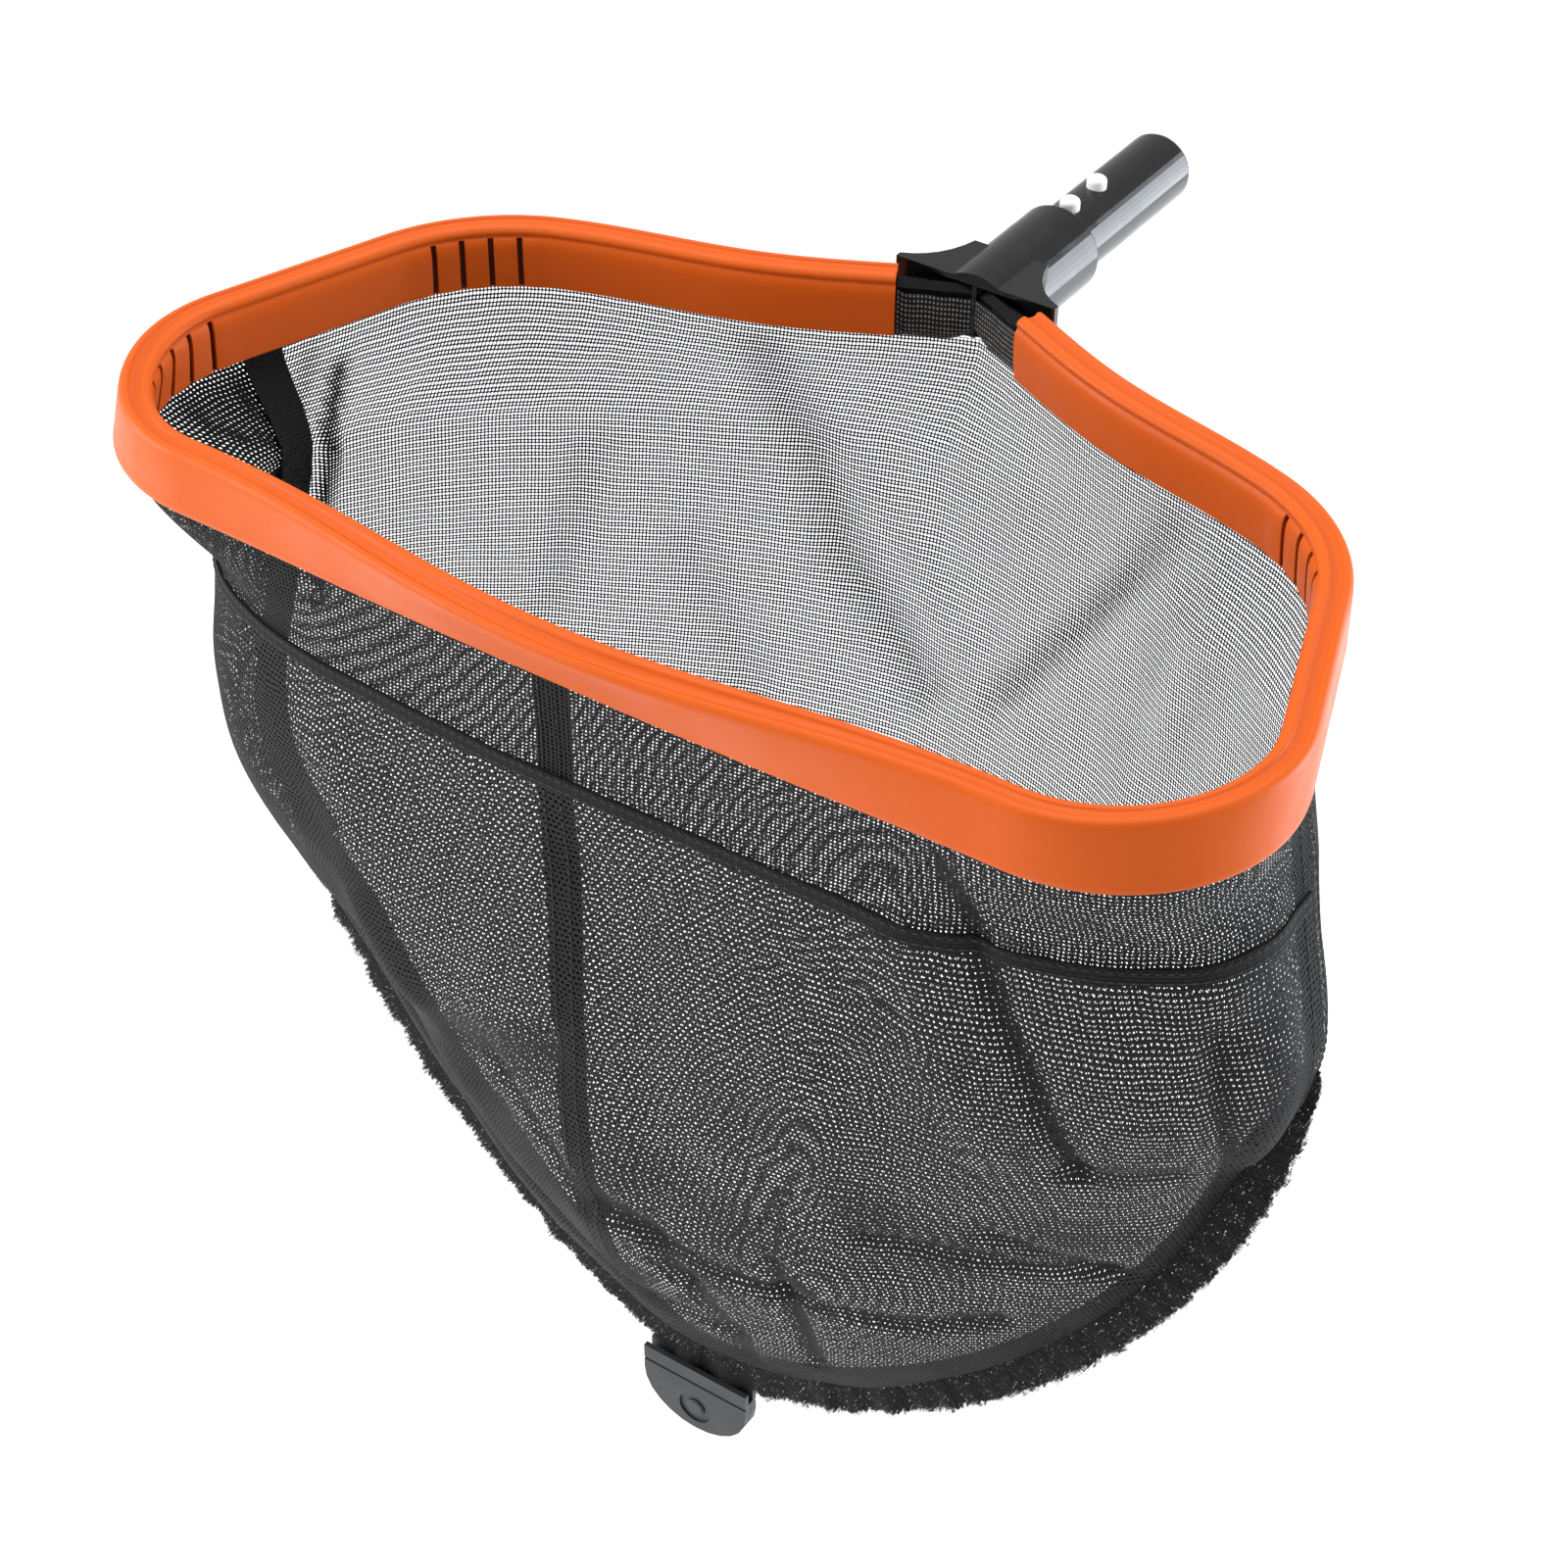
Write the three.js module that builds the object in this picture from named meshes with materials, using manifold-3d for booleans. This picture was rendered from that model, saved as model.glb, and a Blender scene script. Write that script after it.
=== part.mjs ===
// Pool leaf skimmer net: a pentagonal hoop with a clip-on edging, a deep mesh bag
// and a pole spigot with two spring buttons. Millimetres, +Z up, +Y along the pole.
// The origin is on the pole axis, in the plane of the shoulder that the pole stops against.
import * as THREE from 'three';
import { mergeVertices } from 'three/addons/utils/BufferGeometryUtils.js';
import Module from 'manifold-3d';

const wasm = await Module();
wasm.setup();

const { sin, cos, tan, PI, abs, max, min, sqrt, sign, hypot, atan2 } = Math;
const degrees = PI / 180;
const gap = 0.3;

// ---------- driving dimensions ----------

// hoop centre line, seen from above: half of a pentagon with rounded corners
const frontCorner = new THREE.Vector2(249.4, -312.2);
const backCorner = new THREE.Vector2(186.4, -128.8);
const apex = new THREE.Vector2(0, -58.4);
const frontRadius = 60;
const backRadius = 78;
const frontBow = 9;
const backBow = -6;
const hoopZ = 2;

// the front bar is turned outward like a scoop, and its corners lean in a little
const scoopAngle = 32 * degrees;
const cornerLean = 11 * degrees;

const tube = { width: 6.4, height: 19, wall: 1.2 };
const edging = { width: 12, height: 26, wall: 1.3, end: 31 };
const slit = { width: 1.5, depth: 21, pitch: 12, front: 11, back: 4 };
const fabric = 1.6;
const tape = { thick: 1.2, off: 0.5, centreHalf: 5, sideHalf: 8, seamHalf: 6 };

const spigot = { radius: 14.3, bore: 12.1, length: 80, seat: 38 };
const collarRadius = 18;
const hub = { front: -63.5, half: 34.5, top: 15, bottom: -9, keeper: -28 };
const button = { radius: 4, hole: 4.25, rise: 4.4, first: 6.5, spacing: 20.7 };

// bag: seam plane, widest outline and profile, all as functions of height
const bag = { top: -13, wide: 232, widest: -140, bottom: -423, bandEnd: -145, band: 17, square: 1.75 };
const bandDrop = -60;

const material = {
  orange: new THREE.MeshStandardMaterial({ color: 0xf2601c, roughness: 0.35, metalness: 0 }),
  black: new THREE.MeshStandardMaterial({ color: 0x1c1c1e, roughness: 0.28, metalness: 0 }),
  white: new THREE.MeshStandardMaterial({ color: 0xf0f0ee, roughness: 0.4, metalness: 0 }),
  grey: new THREE.MeshStandardMaterial({ color: 0x45474a, roughness: 0.5, metalness: 0 }),
  steel: new THREE.MeshStandardMaterial({ color: 0xb8bcc0, roughness: 0.3, metalness: 1 }),
  aluminium: new THREE.MeshStandardMaterial({ color: 0xc9ccd0, roughness: 0.4, metalness: 1 }),
  mesh: new THREE.MeshStandardMaterial({ color: 0x2a2a2c, roughness: 0.9, metalness: 0 }),
  webbing: new THREE.MeshStandardMaterial({ color: 0x141416, roughness: 0.9, metalness: 0 }),
};

// ---------- solids ----------

// triangles may be listed either way round: the solid is turned right side out
function geometryFrom(points, triangles) {
  const normal = new THREE.Vector3();
  const volume = triangles.reduce((sum, [a, b, c]) => (
    sum + points[a].dot(normal.crossVectors(points[b], points[c]))
  ), 0);
  const facing = volume < 0 ? triangles.map(([a, b, c]) => [a, c, b]) : triangles;
  const geometry = new THREE.BufferGeometry().setFromPoints(points);
  geometry.setIndex(facing.flat());
  return geometry;
}

function toManifold(geometry) {
  const plain = geometry.clone();
  plain.deleteAttribute('normal');
  plain.deleteAttribute('uv');
  const welded = mergeVertices(plain, 1e-4);
  return new wasm.Manifold(new wasm.Mesh({
    numProp: 3,
    vertProperties: new Float32Array(welded.attributes.position.array),
    triVerts: new Uint32Array(welded.index.array),
  }));
}

function fromManifold(solid) {
  const mesh = solid.getMesh();
  const geometry = new THREE.BufferGeometry();
  geometry.setAttribute('position', new THREE.BufferAttribute(mesh.vertProperties, 3));
  geometry.setIndex(new THREE.BufferAttribute(mesh.triVerts, 1));
  return geometry;
}

function cut(body, ...tools) {
  let solid = toManifold(body);
  for (const tool of tools) {
    solid = solid.subtract(toManifold(tool));
  }
  return fromManifold(solid);
}

function join(first, ...others) {
  let solid = toManifold(first);
  for (const other of others) {
    solid = solid.add(toManifold(other));
  }
  return fromManifold(solid);
}

function box(low, high) {
  const size = high.map((value, axis) => value - low[axis]);
  const middle = high.map((value, axis) => (value + low[axis]) / 2);
  return new THREE.BoxGeometry(...size).translate(...middle);
}

// a solid swept along stations; the outline and its holes are 2D loops, counter-clockwise
function sweep(outline, holes, stations) {
  const loops = [outline, ...holes.map((loop) => [...loop].reverse())];
  const flat = loops.flat();
  const points = [];
  const triangles = [];
  for (const station of stations) {
    for (const corner of flat) {
      points.push(station.place(corner));
    }
  }
  const count = flat.length;
  for (let ring = 0; ring + 1 < stations.length; ring += 1) {
    let start = 0;
    for (const loop of loops) {
      for (let i = 0; i < loop.length; i += 1) {
        const next = (i + 1) % loop.length;
        const a = ring * count + start + i;
        const b = ring * count + start + next;
        if (loop[i].y > loop[next].y || (loop[i].y === loop[next].y && loop[i].x < loop[next].x)) {
          triangles.push([a, b, b + count], [a, b + count, a + count]);
        } else {
          triangles.push([a, b, a + count], [b, b + count, a + count]);
        }
      }
      start += loop.length;
    }
  }
  const last = (stations.length - 1) * count;
  for (const [a, b, c] of THREE.ShapeUtils.triangulateShape(outline, loops.slice(1))) {
    triangles.push([a, c, b], [last + a, last + b, last + c]);
  }
  return geometryFrom(points, triangles);
}

// a closed sheet between two grids of points: near[row][column] and far[row][column]
function sheet(near, far) {
  const rows = near.length;
  const columns = near[0].length;
  const points = [...near.flat(), ...far.flat()];
  const half = rows * columns;
  const triangles = [];
  const quad = (a, b, c, d) => triangles.push([a, b, c], [a, c, d]);
  for (let r = 0; r + 1 < rows; r += 1) {
    for (let c = 0; c + 1 < columns; c += 1) {
      const a = r * columns + c;
      quad(a, a + 1, a + columns + 1, a + columns);
      quad(half + a, half + a + columns, half + a + columns + 1, half + a + 1);
    }
  }
  for (let c = 0; c + 1 < columns; c += 1) {
    const end = (rows - 1) * columns + c;
    quad(c, half + c, half + c + 1, c + 1);
    quad(end, end + 1, half + end + 1, half + end);
  }
  for (let r = 0; r + 1 < rows; r += 1) {
    const left = r * columns;
    const right = left + columns - 1;
    quad(left, left + columns, half + left + columns, half + left);
    quad(right, half + right, half + right + columns, right + columns);
  }
  return geometryFrom(points, triangles);
}

// turned about the Y axis: the profile holds [radius, y] pairs
function turned(profile, segments = 28) {
  return new THREE.LatheGeometry(profile.map(([r, y]) => new THREE.Vector2(r, y)), segments);
}

function rod(radius, from, to, segments = 28) {
  return turned([[0, from], [radius, from], [radius, to], [0, to]], segments);
}

// the same rod standing up along Z at x, y
function post(radius, x, y, from, to, segments = 16) {
  return rod(radius, from, to, segments).rotateX(PI / 2).translate(x, y, 0);
}

function plate(corners, from, to) {
  const shape = new THREE.Shape(corners.map(([x, y]) => new THREE.Vector2(x, y)));
  return new THREE.ExtrudeGeometry(shape, { depth: to - from, bevelEnabled: false }).translate(0, 0, from);
}

function roundedLoop(halfWidth, low, high, radius, steps = 3) {
  const loop = [];
  const corners = [[1, high, 0], [-1, high, 90], [-1, low, 180], [1, low, 270]];
  for (const [side, end, start] of corners) {
    const centreU = side * (halfWidth - radius);
    const centreV = end === high ? high - radius : low + radius;
    for (let i = 0; i <= steps; i += 1) {
      const angle = (start + 90 * i / steps) * degrees;
      loop.push(new THREE.Vector2(centreU + radius * cos(angle), centreV + radius * sin(angle)));
    }
  }
  return loop;
}

// ---------- hoop path ----------

const sideDirection = backCorner.clone().sub(frontCorner).normalize();
const backDirection = apex.clone().sub(backCorner).normalize();
const frontTurn = atan2(sideDirection.y, sideDirection.x);
const backTurn = atan2(backDirection.y, backDirection.x) - frontTurn;
const frontTrim = frontRadius * tan(frontTurn / 2);
const backTrim = backRadius * tan(backTurn / 2);

const segments = (() => {
  const front = { length: frontCorner.x - frontTrim, start: new THREE.Vector2(0, frontCorner.y) };
  const sideStart = frontCorner.clone().addScaledVector(sideDirection, frontTrim);
  const sideEnd = backCorner.clone().addScaledVector(sideDirection, -backTrim);
  const backStart = backCorner.clone().addScaledVector(backDirection, backTrim);
  const arc = (start, heading, radius, turn) => ({ start, heading, radius, length: radius * turn });
  return [
    { ...front, heading: 0, bow: 0 },
    arc(new THREE.Vector2(front.length, frontCorner.y), 0, frontRadius, frontTurn),
    { start: sideStart, heading: frontTurn, length: sideEnd.distanceTo(sideStart), bow: 0 },
    arc(sideEnd, frontTurn, backRadius, backTurn),
    { start: backStart, heading: frontTurn + backTurn, length: apex.distanceTo(backStart), bow: backBow },
  ];
})();
const halfLength = segments.reduce((sum, segment) => sum + segment.length, 0);
const frontLength = segments[0].length;
const frontArcMiddle = frontLength + segments[1].length / 2;
const backArcMiddle = frontLength + segments[1].length + segments[2].length + segments[3].length / 2;

// plan position at a distance from the middle of the front bar; negative on the left
function planPoint(distance) {
  let rest = min(abs(distance), halfLength);
  let found = segments[segments.length - 1];
  for (const segment of segments) {
    if (rest <= segment.length) {
      found = segment;
      break;
    }
    rest -= segment.length;
  }
  rest = min(rest, found.length);
  const point = found.start.clone();
  if (found.radius) {
    const turn = rest / found.radius;
    point.x += found.radius * (sin(found.heading + turn) - sin(found.heading));
    point.y += found.radius * (cos(found.heading) - cos(found.heading + turn));
  } else {
    const bulge = found.bow * (1 - cos(2 * PI * rest / found.length)) / 2;
    point.x += rest * cos(found.heading) + bulge * sin(found.heading);
    point.y += rest * sin(found.heading) - bulge * cos(found.heading);
  }
  if (abs(distance) < frontLength) {
    point.y -= frontBow * (1 + cos(PI * distance / frontLength)) / 2;
  }
  point.x *= sign(distance) || 1;
  return point;
}

function lean(distance) {
  const s = abs(distance);
  if (s < frontLength) {
    return scoopAngle * (1 + cos(PI * s / frontLength)) / 2;
  }
  if (s < frontLength + segments[1].length) {
    return -cornerLean * sin(PI * (s - frontLength) / segments[1].length) ** 2;
  }
  return 0;
}

// u points out of the hoop, v points up; both turn with the lean of the hoop
function hoopStation(distance, straight = false) {
  const step = 0.5;
  const limit = halfLength - step;
  const centre = planPoint(distance);
  const middle = max(-limit, min(limit, distance));
  const ahead = planPoint(middle + step).sub(planPoint(middle - step)).normalize();
  const out = new THREE.Vector3(ahead.y, -ahead.x, 0);
  const angle = straight ? 0 : lean(distance);
  return {
    centre,
    out,
    place(corner) {
      const u = corner.x * cos(angle) + corner.y * sin(angle);
      const v = corner.y * cos(angle) - corner.x * sin(angle);
      return new THREE.Vector3(centre.x + out.x * u, centre.y + out.y * u, hoopZ + v);
    },
  };
}

function hoopStations(from, to) {
  const marks = new Set([from, to, -edgingEnd, edgingEnd]);
  let passed = 0;
  segments.forEach((segment, index) => {
    const steps = [10, 9, 1, 6, 3][index];
    for (let i = 0; i <= steps; i += 1) {
      const s = passed + segment.length * i / steps;
      marks.add(s);
      marks.add(-s);
    }
    passed += segment.length;
  });
  const inside = [...marks].filter((s) => s >= from && s <= to).sort((a, b) => a - b);
  return inside.filter((s, i) => i === 0 || s - inside[i - 1] > 0.05).map((s) => hoopStation(s));
}

function distanceWhere(test) {
  let s = halfLength;
  while (!test(planPoint(s))) {
    s -= 0.25;
  }
  return s;
}

const edgingEnd = distanceWhere((point) => point.x > edging.end);

// ---------- hoop: tube, edging and hem ----------

function frameTube() {
  const half = tube.height / 2;
  const end = halfLength - 0.6;
  const outer = roundedLoop(tube.width / 2, -half, half, 2.6, 1);
  const inner = roundedLoop(tube.width / 2 - tube.wall, tube.wall - half, half - tube.wall, 1.4, 1);
  return sweep(outer, [inner], hoopStations(-end, end));
}

function edgingOutline() {
  const { width, height, wall } = edging;
  const side = width / 2;
  const top = height / 2;
  const inside = side - wall;
  const under = top - wall - 0.7;
  const corners = [
    [side, -top], [side + 0.4, -top + 2], [side, -top + 4.5], [side, top - 4], [side - 0.5, top - 1.6],
    [side - 1.8, top - 0.3], [side - 3.6, top], [side - 5, top - 0.8], [-side + 4.8, top - 0.8],
    [-side + 3.4, top - 0.2], [-side + 1.2, top - 1.2], [-side + 0.2, top - 3], [-side, top - 5],
    [-side, -top], [-inside, -top], [-inside, under - 1.9], [-inside + 1.6, under],
    [inside - 1.6, under], [inside, under - 1.9], [inside, -top],
  ];
  return corners.map(([u, v]) => new THREE.Vector2(u, v));
}

function slitCutter(distance) {
  const station = hoopStation(distance);
  const inward = -edging.width / 2;
  const low = -edging.height / 2 - 3;
  const top = low + 3 + slit.depth;
  const along = new THREE.Vector3(-station.out.y, station.out.x, 0).multiplyScalar(slit.width / 2);
  const corners = [[inward - 2, low], [inward + edging.wall + 0.9, low], [inward + edging.wall + 0.9, top],
    [inward - 2, top]].map(([u, v]) => new THREE.Vector2(u, v));
  const shifted = (offset) => ({ place: (corner) => station.place(corner).add(offset) });
  return sweep(corners, [], [shifted(along.clone().negate()), shifted(along)]);
}

function edgingStrip() {
  const body = sweep(edgingOutline(), [], hoopStations(-edgingEnd, edgingEnd));
  const cutters = [];
  for (const side of [-1, 1]) {
    for (let i = 0; i < slit.front; i += 1) {
      const place = frontArcMiddle - 11 + (i - (slit.front - 1) / 2) * slit.pitch;
      cutters.push(slitCutter(side * place));
    }
    for (let i = 0; i < slit.back; i += 1) {
      cutters.push(slitCutter(side * (backArcMiddle + (i - (slit.back - 1) / 2) * slit.pitch)));
    }
  }
  return cut(body, ...cutters);
}

// a sleeve round the tube with a stitched tail that hangs out of the edging
function hemSleeve() {
  const half = tube.height / 2;
  const inner = roundedLoop(tube.width / 2 + gap, -half - gap, half + gap, 1.6, 1);
  const side = tube.width / 2 + gap + 0.9;
  const top = half + gap + 0.9;
  const low = -edging.height / 2 - 1;
  const outline = [
    [1, low], [1, -top - 0.4], [side, -top + 2], [side, top - 2], [0, top],
    [-side, top - 2], [-side, -top + 2], [-1, -top - 0.4], [-1, low],
  ].map(([u, v]) => new THREE.Vector2(u, v));
  const end = distanceWhere((point) => point.x > 3);
  return sweep(outline, [inner], hoopStations(-end, end));
}

// ---------- bag ----------

function smooth(from, to, value) {
  const t = max(0, min(1, (value - from) / (to - from)));
  return t * t * (3 - 2 * t);
}

// seam plane, a little nearer the front at the bottom
function seamY(z) {
  return -217 + 0.07 * z;
}

// outline in the seam plane: nearly straight sides, then a round bottom
function halfWidth(z, wide, bottom) {
  if (z > bag.widest) {
    return wide - 18 * smooth(bag.widest, -30, z);
  }
  const fall = (bag.widest - z) / (bag.widest - bottom);
  return wide * max(0, 1 - fall ** bag.square) ** (1 / bag.square);
}

const pocketBottom = bag.bottom + bag.band + 3;

// outline of the pocket itself, which stops short of the flat band along the bottom
function pocketWidth(z) {
  const share = smooth(bag.bandEnd + 45, bag.bandEnd - 55, z);
  return halfWidth(z, bag.wide - (bag.band + 3) * share, pocketBottom);
}

function frontDepth(z) {
  const fall = max(0, min(1, (-225 - z) / (-225 - pocketBottom)));
  return (96 + 0.07 * z) * sqrt(max(0, 1 - fall ** 2.4));
}

function backDepth(z) {
  const fall = max(0, min(1, (bag.top - z) / (bag.top - pocketBottom)));
  return 140 * sqrt(max(0, 1 - fall ** 2.2));
}

function resample(points, count) {
  const reach = [0];
  for (let i = 1; i < points.length; i += 1) {
    reach.push(reach[i - 1] + points[i].distanceTo(points[i - 1]));
  }
  const total = reach[reach.length - 1];
  const result = [];
  let at = 1;
  for (let k = 0; k < count; k += 1) {
    const goal = total * k / (count - 1);
    while (at < points.length - 1 && reach[at] < goal) {
      at += 1;
    }
    const share = (goal - reach[at - 1]) / (reach[at] - reach[at - 1]);
    result.push(points[at - 1].clone().lerp(points[at], share));
  }
  return result;
}

// a quarter of the bag's outline at one height, from the middle of a face to the side seam
function quarter(z, back, count) {
  const wide = pocketWidth(z);
  const deep = back ? backDepth(z) : frontDepth(z);
  const square = back ? 1.5 : 1.65 + 0.5 * smooth(-380, -150, z);
  const dense = [];
  for (let i = 0; i <= 60; i += 1) {
    const angle = PI / 2 * i / 60;
    const x = wide * sin(angle) ** (2 / square);
    const y = deep * cos(angle) ** (2 / square);
    dense.push(new THREE.Vector3(x, seamY(z) + (back ? y : -y), z));
  }
  return resample(dense, count);
}

const seamDistance = distanceWhere((point) => point.y < seamY(bag.top));

function rimQuarter(back, count) {
  const tail = new THREE.Vector2(0, -edging.height / 2 - 1);
  const from = back ? halfLength : 0;
  const dense = [];
  for (let i = 0; i <= 60; i += 1) {
    dense.push(hoopStation(from + (seamDistance - from) * i / 60).place(tail));
  }
  return resample(dense, count);
}

// right half of the bag's outline at one height, from the front middle round to the back middle
function bagOutline(z) {
  const count = 41;
  const share = smooth(bag.top - 42, bag.top, z);
  const blend = (back) => {
    const rim = rimQuarter(back, count);
    return quarter(z, back, count).map((point, i) => point.lerp(rim[i], share).setZ(z));
  };
  return [...blend(false), ...blend(true).reverse().slice(1)];
}

// the same outline as a function of the distance walked from the front middle; the side seam
// is halfway along the list, and a negative distance lies on the left half
function bagWalk(z) {
  const points = bagOutline(z);
  const reach = [0];
  for (let i = 1; i < points.length; i += 1) {
    reach.push(reach[i - 1] + points[i].distanceTo(points[i - 1]));
  }
  const at = (distance) => {
    const goal = abs(distance);
    let i = 1;
    while (i < points.length - 1 && reach[i] < goal) {
      i += 1;
    }
    const share = (goal - reach[i - 1]) / (reach[i] - reach[i - 1]);
    const point = points[i - 1].clone().lerp(points[i], share);
    point.x *= distance < 0 ? -1 : 1;
    return point;
  };
  return { at, seam: reach[(points.length - 1) / 2], end: reach[points.length - 1] };
}

// the skin at a distance outside the bag surface, following rows of points on it
function offsetRows(rows, distance) {
  return rows.map((row, r) => row.map((point, c) => {
    const across = row[min(c + 1, row.length - 1)].clone().sub(row[max(c - 1, 0)]);
    const down = rows[min(r + 1, rows.length - 1)][c].clone().sub(rows[max(r - 1, 0)][c]);
    const normal = down.cross(across).normalize();
    return point.clone().addScaledVector(normal, distance).setZ(point.z);
  }));
}

function levelsBetween(from, to, steps) {
  return Array.from({ length: steps + 1 }, (_, i) => from + (to - from) * i / steps);
}

// heights of the rows of points that every piece of the bag shares
const upperLevels = [bag.top + 0.4, -23, -33, -44, bandDrop + tape.seamHalf, bandDrop];
const lowerLevels = [bandDrop, ...levelsBetween(bandDrop - tape.seamHalf, -369, 9), -387, pocketBottom + 4];

// places across half a face, from its middle to the side seam, with an edge of every tape
function acrossFace(length) {
  const right = [...levelsBetween(tape.centreHalf, length - tape.sideHalf, 9), length - gap];
  return [...right.map((place) => -place).reverse(), 0, ...right];
}

// fabric over part of the bag surface: places gives the walked distances at each height
function fabricPatch(levels, near, far, places) {
  const rows = levels.map((z) => {
    const walk = bagWalk(z);
    return places(walk).map((distance) => walk.at(distance));
  });
  return sheet(offsetRows(rows, near), offsetRows(rows, far));
}

function frontFace(levels) {
  return fabricPatch(levels, 0, fabric, ({ seam }) => acrossFace(seam));
}

function frontBand() {
  return frontFace(upperLevels);
}

function frontPanel() {
  return frontFace([bandDrop - gap, ...lowerLevels.slice(1)]);
}

// the back face is walked on from the right seam through the back middle to the left seam
function backPanel() {
  const places = ({ seam, end }) => (
    acrossFace(end - seam).map((place) => (end - abs(place)) * (place < 0 ? 1 : -1))
  );
  return fabricPatch([...upperLevels, ...lowerLevels.slice(1)], 0, fabric, places);
}

// covers the seam between the front band and the front panel, on the outside
function bandSeamTape() {
  const near = fabric + gap;
  const levels = [bandDrop + tape.seamHalf, bandDrop, bandDrop - tape.seamHalf];
  return fabricPatch(levels, near, near + tape.thick, ({ seam }) => acrossFace(seam).slice(1, -1));
}

// the other tapes are sewn to the inside of the bag
function innerTape(levels, places) {
  return fabricPatch(levels, -tape.off - tape.thick, -tape.off, places);
}

function centreTape() {
  const levels = [...upperLevels, ...lowerLevels.slice(1, -1)];
  return innerTape(levels, () => [-tape.centreHalf, 0, tape.centreHalf]);
}

// from the hem down to the start of the bottom band
function sideTape(side) {
  const levels = [...upperLevels, ...lowerLevels.slice(1, 7)];
  return innerTape(levels, ({ seam }) => (
    [-tape.sideHalf, 0, tape.sideHalf].map((offset) => side * seam + offset)
  ));
}

// flat doubled band outside the pocket, along the bottom
function bottomBand() {
  const fall = (bag.widest - bag.bandEnd) / (bag.widest - bag.bottom);
  const from = Math.asin(fall ** (bag.square / 2));
  const steps = 24;
  const outer = [];
  const inner = [];
  for (let i = -steps; i <= steps; i += 1) {
    const share = abs(i) / steps;
    const angle = PI / 2 - (PI / 2 - from) * share;
    const x = bag.wide * cos(angle) ** (2 / bag.square) * (sign(i) || 1);
    const z = bag.widest - (bag.widest - bag.bottom) * sin(angle) ** (2 / bag.square);
    outer.push(new THREE.Vector3(i === 0 ? 0 : x, 0, z));
  }
  outer.forEach((point, i) => {
    const ahead = outer[min(i + 1, outer.length - 1)].clone().sub(outer[max(i - 1, 0)]).normalize();
    const share = abs(i - steps) / steps;
    const width = bag.band - (bag.band - 4) * smooth(0.75, 1, share);
    inner.push(point.clone().add(new THREE.Vector3(-ahead.z, 0, ahead.x).multiplyScalar(width)));
  });
  const skin = (offset) => [outer, inner].map((row) => (
    row.map((point) => new THREE.Vector3(point.x, seamY(point.z) + offset, point.z))
  ));
  return sheet(skin(-1.2), skin(1.2));
}

// ---------- grab tab under the bag ----------

const tab = { half: 26, top: -417.5, bottom: -453.5, split: -424, snap: -441, skin: 2.4, y: -246.4 };

function tabOutline(top) {
  const points = [[-tab.half, top], [-tab.half, -431]];
  for (let i = 1; i < 12; i += 1) {
    const angle = PI * i / 12;
    points.push([-tab.half * cos(angle), -431 - (-431 - tab.bottom) * sin(angle)]);
  }
  return [...points, [tab.half, -431], [tab.half, top]];
}

// stands a flat outline up in the XZ plane, between two distances behind the seam plane
function upright(corners, from, to) {
  return plate(corners, -to, -from).rotateX(PI / 2).translate(0, tab.y, 0);
}

// a rod along Y at x, z, standing off the tab's middle plane
function pin(radius, z, from, to, segments = 24) {
  return rod(radius, tab.y + from, tab.y + to, segments).translate(0, 0, z);
}

// each half is thin where it grips the band and thick below it, where the halves meet
function tabHalf(side) {
  const inner = 1.6;
  const outer = inner + tab.skin;
  const span = (near, far) => (side < 0 ? [-far, -near] : [near, far]);
  const cover = upright(tabOutline(tab.top), ...span(inner, outer));
  const heart = upright(tabOutline(tab.split), ...span(gap / 2, inner + 0.5));
  const groove = box(
    [-tab.half - 1, tab.y + span(outer - 0.6, outer + 1)[0], tab.split - 2.2],
    [tab.half + 1, tab.y + span(outer - 0.6, outer + 1)[1], tab.split - 0.8],
  );
  const dimple = pin(8, tab.snap, ...span(outer - 0.9, outer + 1), 32);
  const hole = pin(2.3, tab.snap, ...span(-1, outer + 1));
  return cut(join(cover, heart), groove, dimple, hole);
}

// the snap: a headed pin through the front half, closed by a cap behind the back half
function tabSnapPin() {
  const face = 1.6 + tab.skin - 0.9 + 0.05;
  const profile = [
    [0, -face - 1.1], [3.4, -face - 1.1], [4.4, -face - 0.6], [4.4, -face], [2, -face], [2, 2.6], [0, 2.6],
  ];
  return turned(profile, 28).translate(0, tab.y, tab.snap);
}

function tabSnapCap() {
  const face = 1.6 + tab.skin - 0.9 + 0.05;
  return pin(4.4, tab.snap, face, face + 0.9, 28);
}

// ---------- hub, spigot and spring buttons ----------

function hubPlan() {
  const right = [[hub.half, hub.front], [hub.half, hub.front + 2.6]];
  for (let i = 1; i <= 6; i += 1) {
    const t = i / 6;
    const [a, b, c] = [(1 - t) ** 2, 2 * t * (1 - t), t ** 2];
    right.push([a * hub.half + b * 20 + c * 16, a * (hub.front + 2.6) + b * -55 + c * -37]);
  }
  const left = right.map(([x, y]) => [-x, y]).reverse();
  return [...right, ...left];
}

const clampScrews = [[25, -58.6], [11, -47.6]].flatMap(([x, y]) => [[x, y], [-x, y]]);

// the slot that takes the hoop from below, and stops at the hub's middle web
function hoopSlot(side, halfWidth, top, stop) {
  const from = distanceWhere((point) => point.x > 52);
  const to = distanceWhere((point) => point.x > stop);
  const low = -40;
  const loop = [[halfWidth, low], [halfWidth, top], [-halfWidth, top], [-halfWidth, low]];
  const marks = [from, to, (from + to) / 2, from * 0.25 + to * 0.75].sort((a, b) => a - b);
  return sweep(loop.map(([u, v]) => new THREE.Vector2(u, v)), [], marks.map((s) => hoopStation(side * s)));
}

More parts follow.
